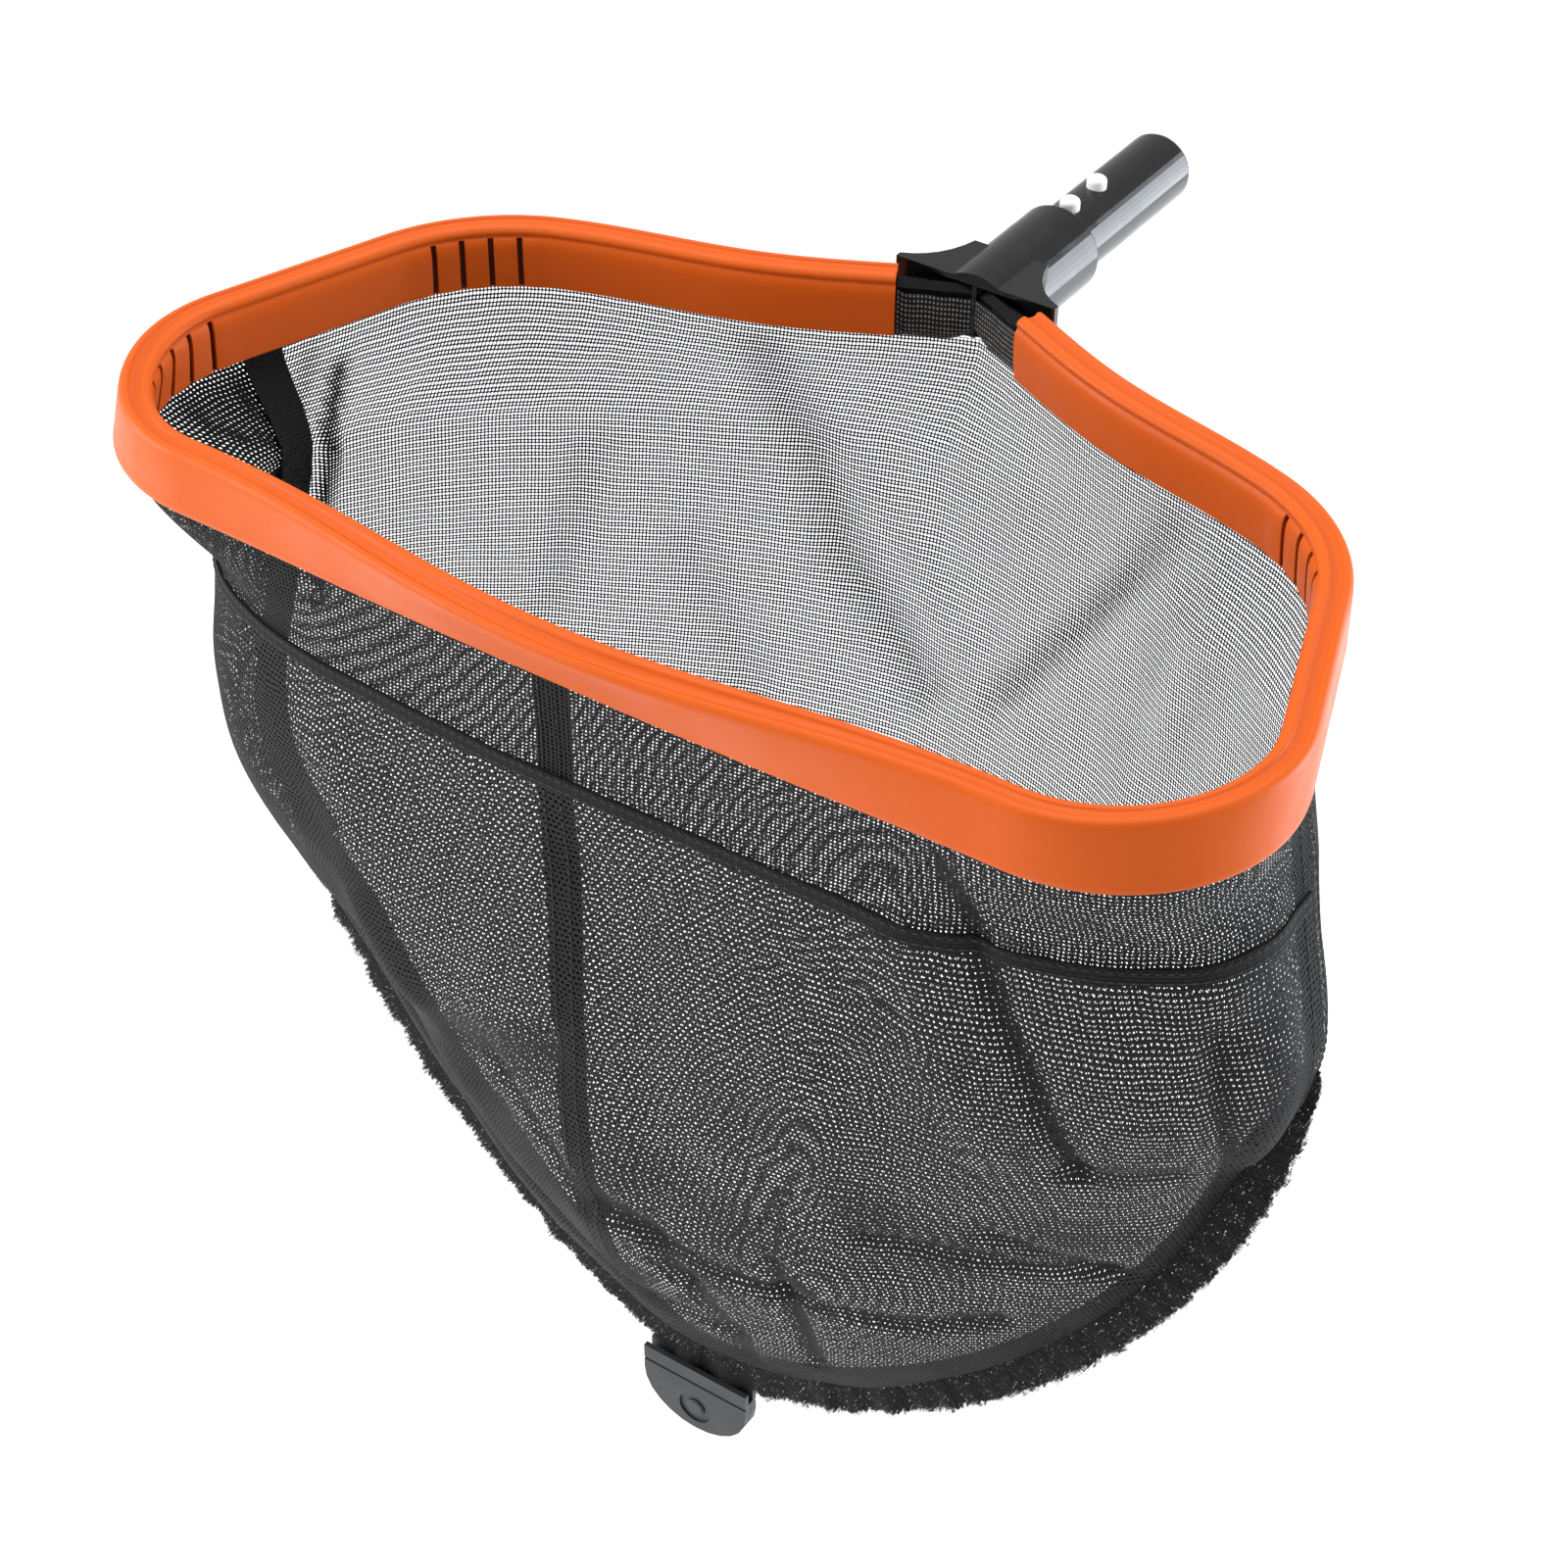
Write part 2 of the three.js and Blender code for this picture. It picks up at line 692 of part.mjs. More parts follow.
function hubBody() {
  const block = plate(hubPlan(), hub.bottom, hub.top);
  const collar = turned([
    [0, hub.front], [collarRadius, hub.front], [collarRadius, -1.4], [collarRadius - 0.5, -0.4],
    [collarRadius - 1.4, 0], [0, 0],
  ], 48);
  const under = box([-40, hub.front - 4, -30], [40, -42, hub.bottom]);
  const bore = rod(spigot.radius + gap, -spigot.seat, 1, 48);
  const hemTop = tube.height / 2 + gap + 0.9 + gap + 0.1;
  const hemHalf = tube.width / 2 + gap + 0.9 + gap + 0.2;
  const slots = [-1, 1].map((side) => hoopSlot(side, hemHalf, hemTop, 2.4));
  const seats = [-1, 1].map((side) => hoopSlot(side, tube.width / 2 + gap, tube.height / 2 + gap, 0.01));
  const pilots = clampScrews.map(([x, y]) => post(2.1, x, y, hub.bottom - 1, 3));
  const keeper = [post(2.1, 0, hub.keeper, -20, -11), post(4.4, 0, hub.keeper, -20, -16.4)];
  return cut(cut(join(block, collar), under, bore), ...slots, ...seats, ...pilots, ...keeper);
}

// closes the slot behind the bag and clamps the ends of the hoop
function clampPlate() {
  const top = hub.bottom - gap;
  const right = [[0, -55.2], [8.3, -58.3], [31, -62.8], [31, -60.6], [22, -54], [15.5, -42.4]];
  const left = right.slice(1).map(([x, y]) => [-x, y]).reverse();
  const body = plate([...right, ...left], top - 4, top);
  const holes = clampScrews.map(([x, y]) => post(2.3, x, y, top - 5, top + 1));
  const seats = clampScrews.map(([x, y]) => post(3.9, x, y, top - 5, top - 2.2));
  return cut(body, ...holes, ...seats);
}

function clampScrew([x, y]) {
  const head = hub.bottom - gap - 2.2 - 0.1;
  return screw(x, y, head, 2.4, 3.6, 1.9, 2);
}

// a pan-head screw driven upward: the head sits below z, the shank reaches up to the tip
function screw(x, y, z, headHeight, headRadius, shankRadius, tip) {
  const profile = [
    [0, z - headHeight], [headRadius - 0.7, z - headHeight], [headRadius, z - headHeight + 0.8],
    [headRadius, z], [shankRadius, z], [shankRadius, tip - 1], [0, tip],
  ];
  const body = turned(profile, 12).rotateX(PI / 2).translate(x, y, 0);
  const cross = [0, 1].map((turn) => (
    box([-1.9, -0.4, z - headHeight - 1], [1.9, 0.4, z - headHeight + 1.1])
      .rotateZ(turn * PI / 2).translate(x, y, 0)
  ));
  return cut(body, ...cross);
}

function spigotTube() {
  const { radius, bore, length, seat } = spigot;
  const from = -seat + gap;
  const body = turned([
    [bore, from], [radius, from], [radius, length - 2], [radius - 0.6, length - 0.6], [radius - 1.6, length],
    [bore, length], [bore, from],
  ], 48);
  const holes = [0, 1].map((i) => post(button.hole, 0, button.first + i * button.spacing, 0, 20, 24));
  const keeper = post(2.1, 0, hub.keeper, -20, 0);
  return cut(body, ...holes, keeper);
}

// a domed button with a flange that keeps it inside the spigot
function snapButton(y) {
  const top = spigot.radius + button.rise;
  const r = button.radius;
  return turned([
    [0, 8.7], [5.6, 8.7], [5.6, 10], [r, 10], [r, top - 1.9], [r - 0.3, top - 1.1], [r - 1.1, top - 0.4],
    [r - 2.4, top], [0, top + 0.1],
  ], 24).rotateX(PI / 2).translate(0, y, 0);
}

// a bent leaf that stands on the spigot's floor and carries the button's flange
function leafSpring(y, direction) {
  const low = -11.2;
  const high = 8.7 - gap;
  const thick = 0.8;
  const outline = [
    [4, high], [-4, high], [-26, low + 5], [-27.5, low + 2.5], [-26, low], [4, low],
    [4, low + thick], [-25.6, low + thick], [-26.4, low + 2.5], [-25.4, low + 4.4], [-3.6, high - thick],
    [4, high - thick],
  ].map(([along, z]) => new THREE.Vector2(along * direction, z));
  const shape = new THREE.Shape(outline);
  const leaf = new THREE.ExtrudeGeometry(shape, { depth: 6, bevelEnabled: false });
  return leaf.translate(0, 0, -3).rotateX(PI / 2).rotateZ(PI / 2).translate(0, y, 0);
}

// ---------- assembly ----------

const model = new THREE.Group();

function add(name, geometry, look) {
  const solid = geometry.index ? geometry.toNonIndexed() : geometry;
  solid.computeVertexNormals();
  const mesh = new THREE.Mesh(solid, look);
  mesh.name = name;
  model.add(mesh);
}

add('frame_tube', frameTube(), material.aluminium);
add('edging_strip', edgingStrip(), material.orange);
add('hem_sleeve', hemSleeve(), material.webbing);

add('bag_front_band', frontBand(), material.mesh);
add('bag_front_panel', frontPanel(), material.mesh);
add('bag_back_panel', backPanel(), material.mesh);
add('band_seam_tape', bandSeamTape(), material.webbing);
add('centre_tape', centreTape(), material.webbing);
add('side_tape_left', sideTape(-1), material.webbing);
add('side_tape_right', sideTape(1), material.webbing);
add('bottom_band', bottomBand(), material.webbing);

add('tab_front_half', tabHalf(-1), material.grey);
add('tab_back_half', tabHalf(1), material.grey);
add('tab_snap_pin', tabSnapPin(), material.grey);
add('tab_snap_cap', tabSnapCap(), material.grey);

add('hub_body', hubBody(), material.black);
add('hub_clamp_plate', clampPlate(), material.black);
clampScrews.forEach((place, i) => add(`clamp_screw_${i + 1}`, clampScrew(place), material.steel));

add('spigot_tube', spigotTube(), material.black);
add('spigot_screw', screw(0, hub.keeper, -16.5, 2.2, 3.6, 1.8, -10), material.steel);

const outerButton = button.first + button.spacing;
add('snap_button_inner', snapButton(button.first), material.white);
add('snap_button_outer', snapButton(outerButton), material.white);
add('leaf_spring_inner', leafSpring(button.first, 1), material.steel);
add('leaf_spring_outer', leafSpring(outerButton, -1), material.steel);

export default model;
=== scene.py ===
"""Leaf skimmer net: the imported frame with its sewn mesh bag, its materials, light and camera."""
import math
import bmesh
import bpy
import numpy as np
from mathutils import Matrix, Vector, noise


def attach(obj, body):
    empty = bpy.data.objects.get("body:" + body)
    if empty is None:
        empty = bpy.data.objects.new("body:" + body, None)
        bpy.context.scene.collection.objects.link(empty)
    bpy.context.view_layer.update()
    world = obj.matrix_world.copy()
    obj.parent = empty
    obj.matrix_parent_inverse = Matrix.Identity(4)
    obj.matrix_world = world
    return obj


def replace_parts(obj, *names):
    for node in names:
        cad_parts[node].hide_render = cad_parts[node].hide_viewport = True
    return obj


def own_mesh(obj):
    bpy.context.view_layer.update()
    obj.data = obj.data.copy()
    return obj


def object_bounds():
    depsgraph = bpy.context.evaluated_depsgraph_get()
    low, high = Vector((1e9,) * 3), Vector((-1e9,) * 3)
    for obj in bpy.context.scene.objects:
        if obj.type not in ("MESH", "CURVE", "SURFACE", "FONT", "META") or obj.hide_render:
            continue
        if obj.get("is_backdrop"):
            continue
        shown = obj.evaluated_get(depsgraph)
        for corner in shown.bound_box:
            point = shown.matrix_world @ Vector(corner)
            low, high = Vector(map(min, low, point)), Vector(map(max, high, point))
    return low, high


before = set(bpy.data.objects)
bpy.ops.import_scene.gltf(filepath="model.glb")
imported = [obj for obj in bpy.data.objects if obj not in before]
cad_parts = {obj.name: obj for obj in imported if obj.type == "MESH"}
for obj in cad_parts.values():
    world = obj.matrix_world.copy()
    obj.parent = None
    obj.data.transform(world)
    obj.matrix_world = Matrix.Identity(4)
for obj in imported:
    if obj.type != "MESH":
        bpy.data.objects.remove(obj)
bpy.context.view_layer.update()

# Lengths are in millimetres up to mesh_object(), which turns them into metres.
MM = 0.001


# ---------- hoop path: the line that the tube, the hem and the edging follow ----------

FRONT_CORNER = np.array([249.4, -312.2])
BACK_CORNER = np.array([186.4, -128.8])
APEX = np.array([0.0, -58.4])
FRONT_RADIUS = 60
BACK_RADIUS = 78
FRONT_BOW = 9
BACK_BOW = -6
HOOP_Z = 2
SCOOP = math.radians(32)
CORNER_LEAN = math.radians(11)
EDGING_WIDTH = 12
EDGING_HEIGHT = 26
# The edging stops this far from the middle plane, beside the hub.
EDGING_END = 29


def smooth(start, end, x):
    """A soft step from 0 at start to 1 at end."""
    share = np.clip((x - start) / (end - start), 0, 1)
    return share * share * (3 - 2 * share)


def direction(vector):
    """The same vectors with length 1."""
    return vector / np.linalg.norm(vector, axis=-1, keepdims=True)


def hoop_table():
    """Half of the hoop's centre line in small steps, from the front middle to the hub."""
    side = direction(BACK_CORNER - FRONT_CORNER)
    back = direction(APEX - BACK_CORNER)
    front_turn = math.atan2(side[1], side[0])
    back_turn = math.atan2(back[1], back[0]) - front_turn
    front_trim = FRONT_RADIUS * math.tan(front_turn / 2)
    back_trim = BACK_RADIUS * math.tan(back_turn / 2)
    lengths = [
        FRONT_CORNER[0] - front_trim,
        FRONT_RADIUS * front_turn,
        np.linalg.norm(BACK_CORNER - FRONT_CORNER) - front_trim - back_trim,
        BACK_RADIUS * back_turn,
        np.linalg.norm(APEX - BACK_CORNER) - back_trim,
    ]
    marks = np.concatenate([[0], np.cumsum(lengths)])
    turned = front_turn + back_turn
    step = 0.25
    s = np.arange(0, marks[-1], step)
    heading = np.interp(s, marks, [0, 0, front_turn, front_turn, turned, turned])
    bulge = BACK_BOW * (1 - np.cos(2 * np.pi * np.clip(s - marks[4], 0, None) / lengths[4])) / 2
    x = np.cumsum(np.cos(heading)) * step + bulge * np.sin(heading)
    y = FRONT_CORNER[1] + np.cumsum(np.sin(heading)) * step - bulge * np.cos(heading)
    on_front = (1 + np.cos(np.pi * np.clip(s / marks[1], 0, 1))) / 2
    y -= FRONT_BOW * on_front
    lean = SCOOP * on_front
    lean -= CORNER_LEAN * np.sin(np.pi * np.clip((s - marks[1]) / lengths[1], 0, 1)) ** 2
    ahead = direction(np.stack([np.gradient(x), np.gradient(y)], -1))
    out_x, out_y = ahead[:, 1], -ahead[:, 0]
    return {"s": s, "x": x, "y": y, "out_x": out_x, "out_y": out_y, "lean": lean, "marks": marks}


HOOP = hoop_table()
HALF_LENGTH = HOOP["s"][-1]
NEAR_HUB = HOOP["s"] > HALF_LENGTH - 80
EDGED_LENGTH = np.interp(-EDGING_END, -HOOP["x"][NEAR_HUB], HOOP["s"][NEAR_HUB])


def hoop_points(s, u, v):
    """Points at signed distances s from the front middle; u points outward and v up."""
    s, u, v = np.broadcast_arrays(*(np.asarray(value, float) for value in (s, u, v)))
    along = np.abs(s)
    side = np.where(s < 0, -1.0, 1.0)
    x, y, out_x, out_y, lean = (
        np.interp(along, HOOP["s"], HOOP[key]) for key in ("x", "y", "out_x", "out_y", "lean")
    )
    across = u * np.cos(lean) + v * np.sin(lean)
    up = v * np.cos(lean) - u * np.sin(lean)
    return np.stack([side * (x + out_x * across), y + out_y * across, HOOP_Z + up], -1)


# ---------- bag surface ----------

# In the pairs below, -1 is the left half and 1 the right half. The bag hangs a little to the right.

# Heights: the rim, the widest place, the outer edge of the bottom band, and the seam under the
# front band.
TOP = -13
WIDEST = -140
BOTTOM = -421
BAND_DROP = -60
# The bottom band: its width, how much wider it is on the left, and the heights of its ends.
BAND_WIDTH = 14
LEFT_BAND_EXTRA = 8
BAND_ENDS = {-1: -205, 1: -128}
POCKET_BOTTOM = BOTTOM + BAND_WIDTH + 3
# The side seams lie in a plane that leans a little; the faces stand in front of it and behind.
SEAM_PLACE = -217
SEAM_LEAN = 0.07
FRONT_DEPTH = 96
FRONT_TAPER_START = -225
BACK_DEPTH = 140
BAG_MIDDLE = np.array([0, -225])
# The bag turns from the hoop's outline to its own over this height.
RIM_BLEND = 42
# Half widths at the widest place.
WIDE = {-1: 230, 1: 243}
# How much narrower each half is at the hoop, and the height where that starts.
NECKS = {-1: (28, -215), 1: (18, -140)}
# The powers that shape the outline of each half, and how square its front face is at the bottom
# and at the top.
OUTLINE_POWERS = {-1: (2.0, 0.75), 1: (1.7, 0.59)}
FRONT_SQUARES = {-1: (1.3, 3.4), 1: (1.6, 3.2)}
BACK_SQUARE = 1.5
OUTLINE_STEPS = 90
HALF_COLUMNS = 71


def seam_y(z):
    """How far back the side seams lie at a height."""
    return SEAM_PLACE + SEAM_LEAN * z


def fallen(z, start, end):
    """How far a height is on the way down from start to end, from 0 to 1."""
    return np.clip((start - z) / (start - end), 0, 1)


def half_width(z, side, wide, bottom):
    """Half of the bag's width at a height, for a bag that ends at bottom."""
    fall = fallen(z, WIDEST, bottom)
    inner, outer = OUTLINE_POWERS[side]
    neck, start = NECKS[side]
    return wide * (1 - fall ** inner) ** outer - neck * smooth(start, -30, z)


def band_width(z, side):
    """How far the bottom band reaches past the pocket at a height. It is wider on the left."""
    full = BAND_WIDTH + 3 + (LEFT_BAND_EXTRA * smooth(-405, -350, z) if side < 0 else 0)
    return full * smooth(BAND_ENDS[side] + 15, BAND_ENDS[side] - 70, z)


def pocket_width(z, side):
    """Half of the pocket's width at a height, inside the bottom band."""
    return half_width(z, side, WIDE[side] - band_width(z, side), POCKET_BOTTOM)


def front_depth(z):
    """How far the front face stands in front of the side seams."""
    fall = fallen(z, FRONT_TAPER_START, POCKET_BOTTOM)
    return (FRONT_DEPTH + SEAM_LEAN * z) * (1 - fall ** 2)


def back_depth(z):
    """How far the back face stands behind the side seams."""
    return BACK_DEPTH * np.sqrt(1 - fallen(z, TOP, POCKET_BOTTOM) ** 2.2)


def walked(points, axis=0):
    """How far along its line each point is, for lines of points that run along an axis."""
    steps = np.linalg.norm(np.diff(points, axis=axis), axis=-1)
    start = np.zeros_like(np.take(steps, [0], axis=axis))
    return np.concatenate([start, np.cumsum(steps, axis=axis)], axis=axis)


def resample(points, count):
    """The same line in even steps, and how far along the line each new point is."""
    reach = walked(points)
    goals = np.linspace(0, reach[-1], count)
    return np.stack([np.interp(goals, reach, points[:, k]) for k in range(3)], -1), goals


def quarter(z, front, side):
    """A quarter of the bag's outline at one height, from the middle of a face to a side seam."""
    angle = np.linspace(0, np.pi / 2, OUTLINE_STEPS)
    if front:
        low, high = FRONT_SQUARES[side]
        square = low + (high - low) * smooth(-250, BAND_DROP, z)
        deep = -front_depth(z)
    else:
        square = BACK_SQUARE
        deep = back_depth(z)
    x = side * pocket_width(z, side) * np.sin(angle) ** (2 / square)
    y = seam_y(z) + deep * np.clip(np.cos(angle), 0, 1) ** (2 / square)
    return resample(np.stack([x, y, np.full(OUTLINE_STEPS, z)], -1), HALF_COLUMNS)


def rim_quarter(front, side):
    """The same quarter where the bag is sewn to the hem, under the hoop."""
    on_back = HOOP["y"] > seam_y(TOP)
    seam = HOOP["s"][on_back][0]
    start = 0 if front else HALF_LENGTH
    s = side * np.linspace(start, seam, OUTLINE_STEPS)
    s[0] += side * 1e-6  # keeps the first point on its own side of the middle
    return resample(hoop_points(s, 0, -EDGING_HEIGHT / 2 - 1), HALF_COLUMNS)


def bag_row(z, front):
    """One row of a face from the left seam to the right one, with distances from the middle."""
    share = smooth(TOP - RIM_BLEND, TOP, z)
    halves = []
    for side in (-1, 1):
        points, reach = quarter(z, front, side)
        rim, rim_reach = rim_quarter(front, side)
        points = points * (1 - share) + rim * share
        points[:, 2] = z
        halves.append((points, side * (reach * (1 - share) + rim_reach * share)))
    left, right = halves
    points = np.concatenate([left[0][:0:-1], right[0]])
    reach = np.concatenate([left[1][:0:-1], right[1]])
    return points, reach


def bag_face(levels, front):
    """Rows of points on a face of the bag, and their distances across and down the cloth."""
    rows, across = zip(*(bag_row(z, front) for z in levels))
    points = np.array(rows)
    middle = points[:, HALF_COLUMNS - 1]
    down = walked(middle)[:, None] + np.zeros(points.shape[1])
    return points, np.array(across), down


# ---------- folds ----------

def outward(points):
    """Unit normals of a grid of points, pointing away from the middle of the bag."""
    normal = direction(np.cross(np.gradient(points, axis=1), np.gradient(points, axis=0)) + 1e-9)
    away = points[..., :2] - BAG_MIDDLE
    return normal * np.sign(np.mean(np.sum(normal[..., :2] * away, axis=-1)))


def ridge(across, z, line, width):
    """How close each point is to a fold line: 1 on the line, falling to 0 away from it."""
    flat = np.stack([across, z], -1)
    nearest = np.full(z.shape, 1e9)
    for start, end in zip(line, line[1:]):
        start, end = np.array(start, float), np.array(end, float)
        run = end - start
        share = np.clip(((flat - start) @ run) / (run @ run), 0, 1)
        gap = np.linalg.norm(flat - start - share[..., None] * run, axis=-1)
        nearest = np.minimum(nearest, gap / width)
    return np.exp(-nearest ** 2)


def ripple(points, size, seed):
    """A soft uneven wave of about that size, between -1 and 1."""
    flat = points.reshape(-1, 3) / size
    values = [noise.noise(Vector(p) + Vector((seed, 0, 0))) for p in flat]
    return np.array(values).reshape(points.shape[:-1])


# Uneven waves of the whole cloth: their size, their seed and how far they stand out.
WAVES = ((75, 3, 2.2), (28, 11, 0.9))
# Each fold: its line as distance across the cloth and height, its half width, how far it stands
# out, and how tight it gathers the net.
FRONT_FOLDS = [
    (((142, -20), (156, -68), (175, -112), (190, -160)), 4.5, -3.5, 0.85),
    (((128, -66), (140, -100), (160, -150)), 14, 4, 0.1),
    (((234, -88), (242, -150), (240, -200)), 5, -3, 0.6),
    (((-51, -221), (-25, -248), (-10, -277)), 5, -2.5, 0.7),
    (((-3, -272), (41, -280), (82, -284)), 5, -3, 0.8),
    (((75, -282), (122, -285), (157, -275)), 5, -3, 0.7),
    (((110, -228), (158, -230), (200, -236)), 5, -2.5, 0.6),
    (((-60, -310), (-20, -330), (40, -345)), 7, -3, 0.6),
    (((-150, -215), (-120, -262), (-70, -310)), 8, -3, 0.5),
    (((-256, -133), (-201, -182), (-157, -218)), 6, -3, 0.5),
    (((90, -150), (100, -210), (94, -262)), 18, 3, 0),
    (((-110, -110), (-100, -190), (-84, -260)), 22, 3.5, 0),
    (((10, -100), (24, -180), (30, -250)), 20, -3, 0),
    (((200, -20), (224, -50), (236, -70)), 12, 3, 0),
    (((-87, -225), (-50, -212), (-18, -193)), 13, -3, 0.75),
    (((-110, -180), (-96, -205), (-87, -225)), 12, 3, 0.4),
    (((0, -265), (20, -271), (31, -301)), 8, -3, 0.8),
    (((75, -261), (77, -307), (74, -346)), 5, -3, 0.8),
    (((31, -301), (40, -340), (36, -380)), 6, -2.5, 0.7),
    (((156, -212), (184, -225), (209, -242)), 5, -2.5, 0.5),
    (((185, -158), (223, -157)), 5, -2, 0.5),
    (((-275, -15), (-266, -50), (-262, -100)), 26, 2, 0.75),
    (((-262, -15), (-250, -34), (-262, -60)), 4, -4, 1.0),
    (((-285, -18), (-268, -34), (-262, -60)), 4, -4, 1.0),
    (((250, -60), (262, -110), (256, -160)), 13, 3, 0.6),
]
BACK_FOLDS = [
    (((-84, -22), (-52, -62), (-38, -104), (4, -153)), 9, 3, 0.25),
    (((-60, -20), (-20, -80), (10, -120)), 12, -2.5, 0),
    (((118, -26), (99, -55), (77, -88), (40, -140)), 9, 2.5, 0.18),
    (((150, -30), (132, -90), (110, -160)), 12, -2.5, 0.05),
    (((-251, -29), (-241, -55), (-246, -90), (-248, -130)), 3, -3.5, 1.0),
    (((-268, -20), (-256, -60), (-258, -110)), 6, 4, 0.3),
    (((-141, -70), (-148, -110), (-154, -143)), 10, 2, 0.12),
    (((-101, -110), (-86, -140), (-70, -170)), 10, 2, 0.12),
    (((230, -30), (216, -100), (180, -170)), 12, 3, 0.1),
    (((-120, -200), (-60, -230), (20, -240)), 16, 3, 0.1),
    (((-20, -280), (50, -300), (110, -280)), 12, -3, 0.1),
]
# How tight the net is gathered in the patches where the bottom of the front is rucked up.
RUCKED = 0.9


def folded(points, across, front):
    """The face with its folds and ripples, and how gathered the cloth is at each point."""
    normal = outward(points)
    folds = FRONT_FOLDS if front else BACK_FOLDS
    z = points[..., 2]
    # the folds fade out towards the rim, the bottom and the side seams
    free = smooth(TOP, TOP - 45, z) * smooth(POCKET_BOTTOM, POCKET_BOTTOM + 30, z)
    columns = np.abs(np.linspace(-1, 1, points.shape[1]))
    free = free * smooth(1, 0.93, columns)
    height = sum(rise * ripple(points, size, seed) for size, seed, rise in WAVES)
    gather = np.zeros(z.shape)
    for line, width, rise, tight in folds:
        near = ridge(across, z, line, width)
        height += rise * near
        gather = np.maximum(gather, tight * near)
    if front:
        patches = np.clip(ripple(points, 38, 21), 0, 1) * smooth(-110, -230, z)
        gather = np.maximum(gather, RUCKED * patches)
    return points + normal * (height * free)[..., None], gather * smooth(TOP + 2, TOP - 12, z)


# ---------- meshes ----------

def mesh_object(name, points, faces, material, body="net"):
    """A piece made from points in millimetres. It rides on a body."""
    mesh = bpy.data.meshes.new(name)
    mesh.from_pydata((np.asarray(points) * MM).tolist(), [], np.asarray(faces).tolist())
    mesh.update()
    mesh.polygons.foreach_set("use_smooth", [True] * len(mesh.polygons))
    mesh.set_sharp_from_angle(angle=math.radians(50))
    mesh.materials.append(material)
    piece = bpy.data.objects.new(name, mesh)
    bpy.context.collection.objects.link(piece)
    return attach(piece, body)


def grid_faces(rows, columns, closed=False):
    """Faces between neighbouring rows of points; closed joins the last column to the first."""
    strips = columns if closed else columns - 1
    r, c = np.meshgrid(np.arange(rows - 1), np.arange(strips), indexing="ij")
    a = r * columns + c
    b = r * columns + (c + 1) % columns
    return np.stack([a, b, b + columns, a + columns], -1).reshape(-1, 4)


def border_faces(rows, columns):
    """Faces that close the edge between two skins of the same grid."""
    half = rows * columns
    top = np.arange(columns)
    right = np.arange(rows) * columns + columns - 1
    bottom = np.arange(columns)[::-1] + (rows - 1) * columns
    left = np.arange(rows)[::-1] * columns
    loop = np.concatenate([top[:-1], right[:-1], bottom[:-1], left[:-1]])
    following = np.roll(loop, -1)
    return np.stack([loop, loop + half, following + half, following], -1)


def paint(piece, name, values):
    """Stores a number at each point of a piece, which its material reads by name."""
    attribute = piece.data.attributes.new(name, "FLOAT", "POINT")
    attribute.data.foreach_set("value", np.asarray(values, float))


def cloth(name, points, across, down, thickness, material, gather=None):
    """A thin closed sheet around a grid of points, with its thread directions as UV in metres."""
    rows, columns = points.shape[:2]
    half = rows * columns
    shift = outward(points) * thickness / 2
    skins = np.concatenate([(points + shift).reshape(-1, 3), (points - shift).reshape(-1, 3)])
    skin = grid_faces(rows, columns)
    faces = np.concatenate([skin[:, ::-1], skin + half, border_faces(rows, columns)])
    piece = mesh_object(name, skins, faces, material)
    mesh = piece.data
    place = np.tile(np.stack([across.ravel(), down.ravel()], -1) * MM, (2, 1))
    corners = np.empty(len(mesh.loops), int)
    mesh.loops.foreach_get("vertex_index", corners)
    mesh.uv_layers.new(name="cloth").data.foreach_set("uv", place[corners].ravel())
    tight = np.zeros(half) if gather is None else gather.ravel()
    paint(piece, "gather", np.tile(tight, 2))
    return piece


# ---------- material graphs ----------

